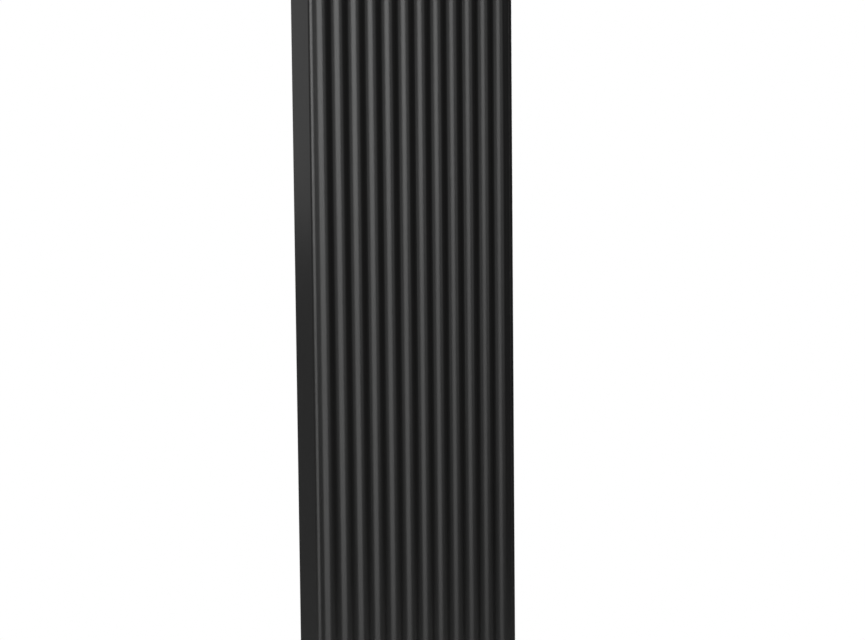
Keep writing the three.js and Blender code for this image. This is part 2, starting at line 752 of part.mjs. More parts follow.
// ---------- thermostat head, along +X ----------

const HEAD = { neck: 12.4, drum: 20, drumBore: 17.5, drumFrom: 63, drumFloor: 66, drumTo: 108 };
const HEAD_NUT = { radius: 19, from: 47, threadTo: 58.9, to: 61.5 };
const HEAD_FLANGE_TO = 58.6;
const WINDOW = { from: 90, half: 4, count: 6 };
const CAP = { outer: 25, inner: 21, cover: 20.6, from: 73, wall: 122, to: 128, flutes: 12, fluteDepth: 1.2 };
const SENSOR = { radius: 13, neck: 6, port: 1, wall: 1, from: 84, to: 112, neckTo: 116 };
const PLUNGER = { radius: 3, collar: 8, from: PIN_END + GAP, collarFrom: 80.7, to: 83.7 };

function headUnionNut() {
  const { radius, from, threadTo, to } = HEAD_NUT;
  const nut = rod("x", radius, [from, to], [0, 0, 0], FINE_SIDES);
  const thread = rod("x", INSERT.thread + GAP, [from - 1, threadTo]);
  return cut(nut, thread, rod("x", HEAD.neck + GAP, [threadTo - 1, to + 1]));
}

function headBase() {
  const shell = join(
    rod("x", INSERT.thread - GAP, [HEAD_X, HEAD_FLANGE_TO]),
    rod("x", HEAD.neck, [HEAD_FLANGE_TO - 0.6, HEAD.drumFrom + 1]),
    rod("x", HEAD.drum, [HEAD.drumFrom, HEAD.drumTo], [0, 0, 0], FINE_SIDES),
  );
  const windows = [];
  for (let i = 0; i < WINDOW.count; i++) {
    const wide = [-WINDOW.half, WINDOW.half];
    const window = block([WINDOW.from, HEAD.drumTo + 1], wide, [0, HEAD.drum + 2]);
    windows.push(window.rotateX((2 * Math.PI * i) / WINDOW.count));
  }
  return cut(
    shell,
    rod("x", INSERT.pocket + GAP, [HEAD_X - 1, HEAD.drumFrom]),
    rod("x", PLUNGER.radius + GAP, [HEAD.drumFrom - 1, HEAD.drumFloor + 1]),
    rod("x", HEAD.drumBore, [HEAD.drumFloor, HEAD.drumTo + 1], [0, 0, 0], FINE_SIDES),
    ...windows,
  );
}

// The grip repeats the radiator's flutes round its rim. Its outline is in the plane across X.
function headCap() {
  const points = [];
  const steps = CAP.flutes * 4;
  for (let i = 0; i < steps; i++) {
    const angle = (2 * Math.PI * i) / steps;
    const wave = (1 - Math.cos(CAP.flutes * angle)) / 2;
    const radius = CAP.outer - CAP.fluteDepth * wave;
    points.push([radius * Math.cos(angle), radius * Math.sin(angle)]);
  }
  const grip = join(
    lengthways(points, [CAP.from + 8, CAP.to]),
    rod("x", CAP.outer - CAP.fluteDepth, [CAP.from, CAP.from + 9], [0, 0, 0], FINE_SIDES),
  );
  return cut(
    grip,
    rod("x", CAP.inner, [CAP.from - 1, CAP.wall - 3], [0, 0, 0], FINE_SIDES),
    rod("x", CAP.cover + GAP, [CAP.wall, CAP.to + 1], [0, 0, 0], FINE_SIDES),
    rod("x", SENSOR.neck + 2, [CAP.wall - 4, CAP.wall + 1]),
  );
}

// The thin capsule that holds the liquid, with its filling port through the neck that the cap's
// thread drives.
function headSensor() {
  return turned("x", [
    [0, SENSOR.from],
    [SENSOR.radius, SENSOR.from],
    [SENSOR.radius, SENSOR.to],
    [SENSOR.neck, SENSOR.to],
    [SENSOR.neck, SENSOR.neckTo],
    [SENSOR.port, SENSOR.neckTo],
    [SENSOR.port, SENSOR.to - SENSOR.wall],
    [SENSOR.radius - SENSOR.wall, SENSOR.to - SENSOR.wall],
    [SENSOR.radius - SENSOR.wall, SENSOR.from + SENSOR.wall],
    [0, SENSOR.from + SENSOR.wall],
  ]);
}

function headPlunger() {
  return turned("x", [
    [0, PLUNGER.from],
    [PLUNGER.radius, PLUNGER.from],
    [PLUNGER.radius, PLUNGER.collarFrom],
    [PLUNGER.collar, PLUNGER.collarFrom],
    [PLUNGER.collar, PLUNGER.to],
    [0, PLUNGER.to],
  ]);
}

function thermostatHead(valve) {
  piece(valve, "head_union_nut", headUnionNut(), "nickel");
  piece(valve, "head_base", headBase(), "plastic");
  piece(valve, "head_cap", headCap(), "plastic");
  const cover = rod("x", CAP.cover, [CAP.wall + GAP, CAP.to - 0.5], [0, 0, 0], FINE_SIDES);
  piece(valve, "head_end_cover", cover, "plastic");
  piece(valve, "head_sensor", headSensor(), "brass");
  piece(valve, "head_plunger", headPlunger(), "steel");
  const spring = coilSpring(5.6, 1, 5, [66 + GAP, PLUNGER.collarFrom - GAP]);
  piece(valve, "head_spring", spring, "steel");
}

function thermostaticValve(parent) {
  const valve = group(parent, 0, PIPE_Y, VALVE_Z);
  unions(valve);
  piece(valve, "valve_body", valveBody(), "nickel");
  for (const [side, sign] of PAIR) {
    const at = [sign * PORT_X, 0, PLUG_Z];
    piece(valve, `${side}_isolator_plug`, isolatorPlug(), "brass", at);
    piece(valve, `${side}_stem_seal`, tube("y", PLUG.stem + GAP, PLUG.radius, STEM_SEAL), "rubber", at);
    piece(valve, `${side}_gland_ring`, glandRing(), "nickel", at);
  }
  insert(valve);
  thermostatHead(valve);
}

// ---------- assembly ----------

elements(radiator);
headers(radiator);
sidePanels(radiator);
panelClips(radiator);
piece(radiator, "top_grille", topGrille(), "casing");
wallFixings(radiator);
airVent(radiator);
thermostaticValve(radiator);

export default radiator;
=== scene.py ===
"""A fluted wall radiator with its thermostatic valve block: surfaces, small parts and studio.

Shapes are worked out in millimetres in the frame's axes (X right, Y back to the wall, Z up) and
become metres when a mesh is made. Each piece rides on its body and stands for its CAD node.
"""
import math

import bmesh
import bpy
from bpy.props import FloatProperty, FloatVectorProperty, IntProperty, PointerProperty
from mathutils import Matrix, Vector
from mathutils.geometry import tessellate_polygon


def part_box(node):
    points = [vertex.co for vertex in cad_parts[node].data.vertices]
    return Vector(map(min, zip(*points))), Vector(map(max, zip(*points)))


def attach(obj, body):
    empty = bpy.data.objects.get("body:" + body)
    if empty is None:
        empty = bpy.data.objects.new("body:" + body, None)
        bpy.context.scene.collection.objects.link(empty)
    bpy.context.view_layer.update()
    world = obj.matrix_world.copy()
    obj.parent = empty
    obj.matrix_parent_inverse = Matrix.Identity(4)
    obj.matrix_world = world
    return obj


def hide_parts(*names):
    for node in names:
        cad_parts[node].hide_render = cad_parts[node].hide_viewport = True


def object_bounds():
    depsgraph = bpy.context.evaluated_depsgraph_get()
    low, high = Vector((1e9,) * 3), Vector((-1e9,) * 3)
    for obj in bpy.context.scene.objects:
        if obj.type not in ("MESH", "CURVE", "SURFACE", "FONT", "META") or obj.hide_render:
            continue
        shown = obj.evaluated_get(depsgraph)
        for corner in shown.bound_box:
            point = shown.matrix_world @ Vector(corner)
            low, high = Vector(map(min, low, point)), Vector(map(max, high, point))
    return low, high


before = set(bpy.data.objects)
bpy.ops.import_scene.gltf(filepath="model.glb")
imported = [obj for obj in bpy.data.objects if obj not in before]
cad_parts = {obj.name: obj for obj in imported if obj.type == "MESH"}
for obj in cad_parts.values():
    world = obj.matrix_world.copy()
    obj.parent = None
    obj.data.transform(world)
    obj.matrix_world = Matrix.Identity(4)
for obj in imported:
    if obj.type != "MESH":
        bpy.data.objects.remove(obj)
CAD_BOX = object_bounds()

bl_info = {
    "name": "Fluted radiator with valve",
    "version": (1, 0, 0),
    "blender": (4, 5, 0),
    "location": "3D View > Sidebar > Radiator",
    "description": "Makes the surfaces, fittings and studio of a fluted wall radiator",
    "category": "Object",
}

MM = 0.001
AXES = {"x": (0, 1, 2), "y": (1, 2, 0), "z": (2, 0, 1)}  # along, then the two across
SIDES = (("left", -1), ("right", 1))
CREASE = math.radians(26)  # edges that turn more than this stay sharp
STEEP = math.radians(50)  # edges that a bevel breaks, and that stay sharp on a knurl
STRAIGHT = math.radians(176)  # corners flatter than this aren't rounded
MERGE = 0.002  # mm, points of one piece nearer than this become one
CLEAN = 0.0005  # mm, edges shorter than this go when a piece is finished

# millimetres that more than one piece needs
SEAM = 0.06  # between neighbouring faces of the front
VALLEY = -110.0  # plane of the valleys in the front
FRONT_HALF = 150.0  # from the middle to a side panel's front edge
CORNER = 7.0  # outside radius of a side panel's front corner
SHEET = 2.0  # thickness of a side panel
HEADER = (36, 34, 7)  # depth, height and corner radius of a header
HEADER_HALF = 138  # from the middle to a header's open end
PORT_X = 25  # from the middle to each of the valve's ports
PLUG_DROP = 29  # from the valve's centre down to its isolator plugs
BAND = 23.8  # radius of the head's band that carries the numbers
INDEX = math.radians(150)  # the index mark, counted from the wall side over the top


def box_mm(node):
    """Lowest and highest corners of a CAD node, in millimetres."""
    return tuple(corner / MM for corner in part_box(node))


def middle(node):
    low, high = box_mm(node)
    return (low + high) / 2


VALVE = Vector((0, middle("valve_body").y, middle("head_cap").z))
VENT = Vector((HEADER_HALF, VALVE.y, middle("vent_plug").z))
TUBE_Y = VALVE.y  # tubes, headers and valve share one plane


def linear(code):
    """An sRGB hex colour as linear red, green and blue."""
    parts = [int(code[i : i + 2], 16) / 255 for i in (0, 2, 4)]
    return tuple(p / 12.92 if p <= 0.04045 else ((p + 0.055) / 1.055) ** 2.4 for p in parts)


# ---------- outlines, as lists of (u, v) in millimetres ----------


def area(loop):
    shifted = loop[1:] + loop[:1]
    return sum(a[0] * b[1] - b[0] * a[1] for a, b in zip(loop, shifted)) / 2


def rounded(points, radii, steps=4, closed=True):
    """Rounds an outline's corners. radii is one radius, or one for each point."""
    count = len(points)
    if not hasattr(radii, "__len__"):
        radii = [radii] * count
    made = []
    for i, (point, radius) in enumerate(zip(points, radii)):
        # an edge is shared between its two corners as their radii ask, and never used up
        if radius <= 0 or (not closed and i in (0, count - 1)):
            made.append(tuple(point))
            continue
        here = Vector(point)
        before, after = Vector(points[i - 1]) - here, Vector(points[(i + 1) % count]) - here
        opening = before.angle(after)
        if opening > STRAIGHT:
            made.append(tuple(point))
            continue
        shares = [radius / (radius + radii[i - 1]), radius / (radius + radii[(i + 1) % count])]
        reach = min(
            radius / math.tan(opening / 2),
            0.98 * shares[0] * before.length, 0.98 * shares[1] * after.length,
        )
        radius = reach * math.tan(opening / 2)
        to_centre = (before.normalized() + after.normalized()).normalized()
        centre = here + to_centre * (radius / math.sin(opening / 2))
        start = here + before.normalized() * reach - centre
        turn = start.angle_signed(here + after.normalized() * reach - centre)
        for step in range(steps + 1):
            angle = -turn * step / steps
            made.append(tuple(centre + Matrix.Rotation(angle, 2) @ start))
    return made


def circle(radius, sides=48):
    turns = [2 * math.pi * i / sides for i in range(sides)]
    return [(radius * math.cos(turn), radius * math.sin(turn)) for turn in turns]


def rectangle(width, height, radius, centre=(0, 0), steps=6):
    u, v = centre
    a, b = width / 2, height / 2
    corners = [(u - a, v - b), (u + a, v - b), (u + a, v + b), (u - a, v + b)]
    return rounded(corners, radius, steps)


def inset(loop, distance):
    """Moves an outline towards the side that lies left of its direction."""
    moved = []
    for i, point in enumerate(loop):
        a = (Vector(point) - Vector(loop[i - 1])).normalized()
        b = (Vector(loop[(i + 1) % len(loop)]) - Vector(point)).normalized()
        left = (Vector((-a.y, a.x)) + Vector((-b.y, b.x))).normalized()
        stretch = max(0.4, left.dot(Vector((-a.y, a.x))))
        moved.append(tuple(Vector(point) + left * distance / stretch))
    return moved


def ring_section(inner, outer, start, end):
    """The square section of a plain ring, as (radius, station) points."""
    return [(inner, start), (outer, start), (outer, end), (inner, end)]


# ---------- closed shells, as (points, faces) in millimetres ----------


def placed(along, u, v, axis, at):
    spot = [0.0, 0.0, 0.0]
    for index, value in zip(AXES[axis], (along, u, v)):
        spot[index] = value + at[index]
    return tuple(spot)


def prism(outline, span, axis="z", at=(0, 0, 0), chamfer=0.3, holes=()):
    """Draws an outline out along an axis, with a small chamfer round both ends."""
    loops = [list(outline) if area(outline) > 0 else list(outline)[::-1]]
    loops += [list(h) if area(h) < 0 else list(h)[::-1] for h in holes]
    start, end = span
    levels = [(start, chamfer), (start + chamfer, 0), (end - chamfer, 0), (end, chamfer)]
    points, faces, ends = [], [], ([], [])
    for loop in loops:
        first, count = len(points), len(loop)
        for station, distance in levels:
            ring = inset(loop, distance) if distance else loop
            points += [placed(station, u, v, axis, at) for u, v in ring]
        for level in range(len(levels) - 1):
            for i in range(count):
                a, b = first + level * count + i, first + level * count + (i + 1) % count
                faces.append((a, b, b + count, a + count))
        ends[0].append([first + i for i in range(count)])
        ends[1].append([first + (len(levels) - 1) * count + i for i in range(count)])
    for end in ends:
        flat = [i for ring in end for i in ring]
        lines = [[Vector([points[i][k] for k in AXES[axis][1:]] + [0]) for i in r] for r in end]
        faces += [tuple(flat[i] for i in triangle) for triangle in tessellate_polygon(lines)]
    return points, faces


def swept(rings, axis="x", at=(0, 0, 0), closed=True):
    """Joins rings of (radius, station) round an axis. A ring with no radius becomes a pole."""
    sides = max(len(r) for r in rings)
    points, starts = [], []
    for ring in rings:
        starts.append((len(points), len(ring)))
        for i, (radius, station) in enumerate(ring):
            angle = 2 * math.pi * i / sides
            u, v = radius * math.cos(angle), radius * math.sin(angle)
            points.append(placed(station, u, v, axis, at))
    faces = []
    pairs = list(zip(starts, starts[1:])) + ([(starts[-1], starts[0])] if closed else [])
    for (a, a_count), (b, b_count) in pairs:
        for i in range(sides):
            j = (i + 1) % sides
            if a_count == b_count == 1:
                continue
            if a_count == 1:
                faces.append((a, b + i, b + j))
            elif b_count == 1:
                faces.append((a + j, a + i, b))
            else:
                faces.append((a + i, b + i, b + j, a + j))
    return points, faces


def turned(outline, axis="x", at=(0, 0, 0), sides=64, fillet=0.3, steps=3):
    """A turned part. Its outline lists (radius, station) points round half of its section."""
    solid = outline[0][0] == 0 and outline[-1][0] == 0
    smooth = rounded(outline, fillet, steps, closed=not solid)
    rings = [[p] if p[0] < 1e-6 else [p] * sides for p in smooth]
    return swept(rings, axis, at, closed=not solid)


def hex_nut(across, span, bore=0.0, axis="z", at=(0, 0, 0), sides=96, ends=(True, True)):
    """A hexagon with its corners turned off at 30 degrees. Its bore is a radius, or (radius,
    station) points down the inside."""
    flat, (start, end) = across / 2, span
    shoulder = 0.97 * flat  # radius of the round face at each end
    walls = []
    for i in range(sides):
        angle = 2 * math.pi * i / sides
        off = (angle + math.pi / 6) % (math.pi / 3) - math.pi / 6
        walls.append(flat / math.cos(off))
    falls = [max(0.0, (r - shoulder)) * math.tan(math.radians(30)) for r in walls]
    low = [(r, start + (f if ends[0] else 0)) for r, f in zip(walls, falls)]
    high = [(r, end - (f if ends[1] else 0)) for r, f in zip(walls, falls)]
    rings = [[(shoulder, start)] * sides, low, high, [(shoulder, end)] * sides]
    if bore:
        plain = [(bore, end), (bore, start)]
        inside = bore if isinstance(bore, list) else plain
        return swept(rings + [[p] * sides for p in inside], axis, at)
    return swept([[(0, start)]] + rings + [[(0, end)]], axis, at, closed=False)


def thread(radius, pitch, span, depth=None):
    """The ridges of a thread as outline points, from one station to another."""
    depth = 0.5 * pitch if depth is None else depth
    start, end = span
    turns = max(1, int(abs(end - start) / pitch))
    step = (end - start) / turns
    points = []
    for i in range(turns):
        points += [(radius - depth, start + step * i), (radius, start + step * (i + 0.5))]
    return points + [(radius - depth, end)]


def turned_about(shell, degrees, axis, at):
    """Turns a shell about an axis through a point."""
    spin = Matrix.Rotation(math.radians(degrees), 3, axis.upper())
    points, faces = shell
    at = Vector(at)
    return [tuple(spin @ (Vector(p) - at) + at) for p in points], faces


# ---------- pieces ----------


def new_object(name, data):
    made = bpy.data.objects.new(name, data)
    bpy.context.scene.collection.objects.link(made)
    return made


def outline_object(name, spots):
    """A closed ring of edges through spots in millimetres, for a Geometry Nodes tree."""
    mesh = bpy.data.meshes.new(name)
    edges = [(i, (i + 1) % len(spots)) for i in range(len(spots))]
    mesh.from_pydata([[c * MM for c in spot] for spot in spots], edges, [])
    return new_object(name, mesh)


def outward(bm):
    """Makes each closed shell's faces agree, and turns a shell that is inside out."""
    bmesh.ops.recalc_face_normals(bm, faces=bm.faces)
    left = set(bm.faces)
    while left:
        shell, found = [], [left.pop()]
        while found:
            face = found.pop()
            shell.append(face)
            for near in {near for edge in face.edges for near in edge.link_faces} & left:
                left.remove(near)
                found.append(near)
        if sum(f.calc_center_median().dot(f.normal) * f.calc_area() for f in shell) < 0:
            bmesh.ops.reverse_faces(bm, faces=shell)


def piece(name, shells, material):
    """One object from closed shells, in metres, with its place in its mesh."""
    bm = bmesh.new()
    for points, faces in shells:
        verts = [bm.verts.new(Vector(p) * MM) for p in points]
        for face in faces:
            bm.faces.new([verts[i] for i in face])
    bmesh.ops.remove_doubles(bm, verts=bm.verts, dist=MERGE * MM)
    outward(bm)
    mesh = bpy.data.meshes.new(name)
    bm.to_mesh(mesh)
    bm.free()
    mesh.materials.append(material)
    return new_object(name, mesh)


def settle(thing, material=None):
    """Turns the result of a piece's modifiers into its plain mesh, with one finish."""
    graph = bpy.context.evaluated_depsgraph_get()
    plain = bpy.data.meshes.new_from_object(thing.evaluated_get(graph))
    thing.modifiers.clear()
    old, thing.data = thing.data, plain
    bpy.data.meshes.remove(old)
    finish = material or next(found for found in plain.materials if found)
    plain.materials.clear()
    plain.materials.append(finish)
    plain.polygons.foreach_set("material_index", [0] * len(plain.polygons))
    return thing


def weld(thing, *others):
    """Adds other pieces' meshes to a piece."""
    bm = bmesh.new()
    bm.from_mesh(thing.data)
    for other in others:
        bm.from_mesh(other.data)
        bpy.data.objects.remove(other)
    bm.to_mesh(thing.data)
    bm.free()
    return thing


def carve(thing, shells):
    """Cuts closed shells out of a piece."""
    for shell in shells:
        tool = piece(thing.name + ".tool", [shell], thing.data.materials[0])
        cut = thing.modifiers.new("Cut", "BOOLEAN")
        cut.operation, cut.solver, cut.object = "DIFFERENCE", "EXACT", tool
        settle(thing)
        bpy.data.objects.remove(tool)
    return thing


def smooth(thing, crease=CREASE):
    """Smooth faces, sharp creases, and normals that favour the larger faces."""
    bm = bmesh.new()
    bm.from_mesh(thing.data)
    bmesh.ops.remove_doubles(bm, verts=bm.verts, dist=CLEAN * MM)
    bmesh.ops.dissolve_degenerate(bm, edges=bm.edges, dist=CLEAN * MM)
    outward(bm)
    for face in bm.faces:
        face.smooth = True
    for edge in bm.edges:
        edge.smooth = len(edge.link_faces) == 2 and edge.calc_face_angle(0) < crease
    bm.to_mesh(thing.data)
    bm.free()
    thing.modifiers.new("Normals", "WEIGHTED_NORMAL").keep_sharp = True
    return settle(thing)


def edge_bevel(thing, width, segments=3):
    """Breaks a sheet's cut edges."""
    bevel = thing.modifiers.new("Broken edge", "BEVEL")
    bevel.width, bevel.segments = width * MM, segments
    bevel.limit_method, bevel.angle_limit = "ANGLE", STEEP
    return settle(thing)


def fit(thing, node=None, body="radiator", crease=CREASE):
    """Smooths a finished piece, puts it on its body and hides the CAD node it stands for."""
    smooth(thing, crease)
    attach(thing, body)
    if node:
        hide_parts(node)


def keep(node, material):
    """Gives a CAD node that stays a better material."""
    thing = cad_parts[node]
    for slot in thing.material_slots:
        slot.material = material


# ---------- nodes ----------


def add(tree, kind, links=None, **settings):
    """Adds a node with its settings, and fills its inputs with values or with the outputs of
    other nodes. A node stands for its first output, and a list fills a many-way input."""
    made = tree.nodes.new(kind)
    for name, value in settings.items():
        setattr(made, name, value)
    for key, given in (links or {}).items():
        for value in given if isinstance(given, list) else [given]:
            if isinstance(value, bpy.types.Node):
                value = value.outputs[0]
            if isinstance(value, bpy.types.NodeSocket):
                tree.links.new(value, made.inputs[key])
            else:
                made.inputs[key].default_value = value
    return made


def modify(thing, tree, **values):
    """Adds a Geometry Nodes modifier, and sets its inputs by identifier from their names."""
    modifier = thing.modifiers.new(tree.name, "NODES")
    modifier.node_group = tree
    for item in tree.interface.items_tree:
        key = item.name.lower().replace(" ", "_")
        if item.item_type == "SOCKET" and item.in_out == "INPUT" and key in values:
            modifier[item.identifier] = values[key]
    return modifier


def new_tree(name, sizes):
    """A Geometry Nodes tree with named inputs for its sizes. A whole number makes a count."""
    tree = bpy.data.node_groups.new(name, "GeometryNodeTree")
    face = tree.interface
    face.new_socket("Geometry", in_out="OUTPUT", socket_type="NodeSocketGeometry")
    face.new_socket("Geometry", in_out="INPUT", socket_type="NodeSocketGeometry")
    for size, default in sizes.items():
        kind = "NodeSocketInt" if isinstance(default, int) else "NodeSocketFloat"
        face.new_socket(size, in_out="INPUT", socket_type=kind).default_value = default
    face.new_socket("Material", in_out="INPUT", socket_type="NodeSocketMaterial")
    return tree, tree.nodes.new("NodeGroupInput").outputs


def close_tree(tree, geometry, material):
    """Ends a tree in real geometry with its material."""
    real = add(tree, "GeometryNodeRealizeInstances", {"Geometry": geometry})
    dressed = add(tree, "GeometryNodeSetMaterial", {"Geometry": real, "Material": material})
    add(tree, "NodeGroupOutput", {"Geometry": dressed})
    return tree


# ---------- trees ----------

MATH = "ShaderNodeMath"


def fluted_tree():
    """A fluted sheet: a thin slab whose both faces follow the same row of round ribs."""
    tree, given = new_tree("Fluted sheet", {
        "Centre": 0.0, "Width": 0.075, "Height": 1.8, "Foot": -0.1, "Pitch": 0.025,
        "Depth": 0.005, "Sheet": 0.002, "Valley": -0.11, "Ribs": 3, "Steps": 28,
    })
    along = add(tree, MATH, {0: given["Ribs"], 1: given["Steps"]}, operation="MULTIPLY")
    posts = add(tree, MATH, {0: along, 1: 1.0}, operation="ADD")
    slab = add(
        tree, "GeometryNodeMeshCube",
        {"Size": (1, 1, 1), "Vertices X": posts, "Vertices Y": 2, "Vertices Z": 2},
    )
    here = add(tree, "GeometryNodeInputPosition")
    x, y, z = add(tree, "ShaderNodeSeparateXYZ", {0: here}).outputs
    across = add(tree, MATH, {0: x, 1: given["Width"]}, operation="MULTIPLY")
    ribs = add(tree, MATH, {0: across, 1: given["Pitch"]}, operation="DIVIDE")
    angle = add(tree, MATH, {0: ribs, 1: 2 * math.pi}, operation="MULTIPLY")
    wave = add(tree, MATH, {0: angle}, operation="COSINE")
    rise = add(tree, MATH, {0: wave, 1: 0.5, 2: 0.5}, operation="MULTIPLY_ADD")
    deep = add(tree, MATH, {0: given["Depth"], 1: rise}, operation="MULTIPLY")
    front = add(tree, MATH, {0: given["Valley"], 1: deep}, operation="SUBTRACT")
    inner = add(tree, MATH, {0: y, 1: 0.5}, operation="ADD")
    level = add(tree, MATH, {0: z, 1: 0.5}, operation="ADD")
    new_x = add(tree, MATH, {0: across, 1: given["Centre"]}, operation="ADD")
    new_y = add(tree, MATH, {0: inner, 1: given["Sheet"], 2: front}, operation="MULTIPLY_ADD")
    rest = {0: level, 1: given["Height"], 2: given["Foot"]}
    new_z = add(tree, MATH, rest, operation="MULTIPLY_ADD")
    spot = add(tree, "ShaderNodeCombineXYZ", {0: new_x, 1: new_y, 2: new_z})
    bent = add(tree, "GeometryNodeSetPosition", {"Geometry": slab, "Position": spot})
    return close_tree(tree, bent, given["Material"])


def grille_tree():
    """A plate filled from an outline, with two rows of round-ended slots over the ribs."""
    tree, given = new_tree("Slotted plate", {
        "Top": 1.698, "Sheet": 0.0015, "Pitch": 0.025, "Count": 12, "Slot": 0.008,
        "Front middle": -0.086, "Front length": 0.032,
        "Rear middle": -0.0475, "Rear length": 0.029,
    })
    half = add(tree, MATH, {0: given["Slot"], 1: 0.48}, operation="MULTIPLY")
    last = add(tree, MATH, {0: given["Count"], 1: 1.0}, operation="SUBTRACT")
    reach = add(tree, MATH, {0: last, 1: given["Pitch"]}, operation="MULTIPLY")
    start = add(tree, MATH, {0: reach, 1: -0.5}, operation="MULTIPLY")
    step = add(tree, "ShaderNodeCombineXYZ", {0: given["Pitch"]})
    curves = [add(tree, "GeometryNodeMeshToCurve", {0: given["Geometry"]})]
    for row in ("Front", "Rear"):
        slot = add(
            tree, "GeometryNodeCurvePrimitiveQuadrilateral",
            {"Width": given["Slot"], "Height": given[row + " length"]},
        )
        ends = add(
            tree, "GeometryNodeFilletCurve", {"Curve": slot, "Radius": half, "Count": 6},
            mode="POLY",
        )
        first = add(tree, "ShaderNodeCombineXYZ", {0: start, 1: given[row + " middle"]})
        line = add(
            tree, "GeometryNodeMeshLine",
            {"Count": given["Count"], "Start Location": first, "Offset": step},
        )
        slots = add(tree, "GeometryNodeInstanceOnPoints", {"Points": line, "Instance": ends})
        curves.append(add(tree, "GeometryNodeRealizeInstances", {0: slots}))
    together = add(tree, "GeometryNodeJoinGeometry", {0: curves[::-1]})
    filled = add(tree, "GeometryNodeFillCurve", {"Curve": together}, mode="TRIANGLES")
    thick = add(tree, MATH, {0: given["Sheet"], 1: -1.0}, operation="MULTIPLY")
    down = add(tree, "ShaderNodeCombineXYZ", {2: thick})
    walls = add(
        tree, "GeometryNodeExtrudeMesh",
        {"Mesh": filled, "Offset": down, "Offset Scale": 1.0, "Individual": False},
    )
    roof = add(tree, "GeometryNodeFlipFaces", {0: filled})
    closed = add(tree, "GeometryNodeJoinGeometry", {0: [walls, roof]})
    tight = add(tree, "GeometryNodeMergeByDistance", {"Geometry": closed, "Distance": 1e-6})
    lift = add(tree, "ShaderNodeCombineXYZ", {2: given["Top"]})
    raised = add(tree, "GeometryNodeTransform", {"Geometry": tight, "Translation": lift})
    return close_tree(tree, raised, given["Material"])


def grip_tree():
    """Sinks a row of round flutes into the rim of a turned part that lies along X."""
    tree, given = new_tree("Grip flutes", {
        "Axis Y": 0.0, "Axis Z": 0.0, "Ribs": 12, "Depth": 0.001,
        "From": 0.0, "To": 1.0, "Run": 0.001, "Inner": 0.022, "Outer": 0.025,
    })
    here = add(tree, "GeometryNodeInputPosition")
    x, y, z = add(tree, "ShaderNodeSeparateXYZ", {0: here}).outputs
    dy = add(tree, MATH, {0: y, 1: given["Axis Y"]}, operation="SUBTRACT")
    dz = add(tree, MATH, {0: z, 1: given["Axis Z"]}, operation="SUBTRACT")
    out = add(tree, "ShaderNodeCombineXYZ", {1: dy, 2: dz})
    radius = add(tree, "ShaderNodeVectorMath", {0: out}, operation="LENGTH").outputs["Value"]
    away = add(tree, "ShaderNodeVectorMath", {0: out}, operation="NORMALIZE")
    angle = add(tree, MATH, {0: dz, 1: dy}, operation="ARCTAN2")
    turns = add(tree, MATH, {0: angle, 1: given["Ribs"]}, operation="MULTIPLY")
    wave = add(tree, MATH, {0: turns}, operation="COSINE")
    sink = add(tree, MATH, {0: wave, 1: 0.5, 2: -0.5}, operation="MULTIPLY_ADD")
    amount = add(tree, MATH, {0: sink, 1: given["Depth"]}, operation="MULTIPLY")
    starts = add(tree, MATH, {0: given["From"], 1: given["Run"]}, operation="ADD")
    stops = add(tree, MATH, {0: given["To"], 1: given["Run"]}, operation="SUBTRACT")
    for value, low, high, before, after in (
        (x, given["From"], starts, 0.0, 1.0), (radius, given["Inner"], given["Outer"], 0.0, 1.0),
        (x, stops, given["To"], 1.0, 0.0),
    ):
        sizes = {0: value, 1: low, 2: high, 3: before, 4: after}
        share = add(tree, "ShaderNodeMapRange", sizes)
        amount = add(tree, MATH, {0: amount, 1: share}, operation="MULTIPLY")
    push = add(tree, "ShaderNodeVectorMath", {0: away, "Scale": amount}, operation="SCALE")
    pushed = add(tree, "GeometryNodeSetPosition", {"Geometry": given["Geometry"], "Offset": push})
    return close_tree(tree, pushed, given["Material"])


def spring_tree():
    """A coil of round wire along X."""
    tree, given = new_tree("Coil spring", {
        "Start": 0.0, "Length": 0.01, "Axis Y": 0.0, "Axis Z": 0.0,
        "Radius": 0.005, "Wire": 0.001, "Turns": 5,
    })
    coil = add(tree, "GeometryNodeCurveSpiral", {
        "Resolution": 40, "Rotations": given["Turns"], "Start Radius": given["Radius"],
        "End Radius": given["Radius"], "Height": given["Length"],
    })
    half = add(tree, MATH, {0: given["Wire"], 1: 0.5}, operation="MULTIPLY")
    section = add(tree, "GeometryNodeCurvePrimitiveCircle", {"Resolution": 12, "Radius": half})
    wire = add(
        tree, "GeometryNodeCurveToMesh",
        {"Curve": coil, "Profile Curve": section, "Fill Caps": True},
    )
    starts = {0: given["Start"], 1: given["Axis Y"], 2: given["Axis Z"]}
    spot = add(tree, "ShaderNodeCombineXYZ", starts)
    laid = add(tree, "GeometryNodeTransform", {
        "Geometry": wire, "Translation": spot, "Rotation": (0.0, math.pi / 2, 0.0),
    })
    return close_tree(tree, laid, given["Material"])


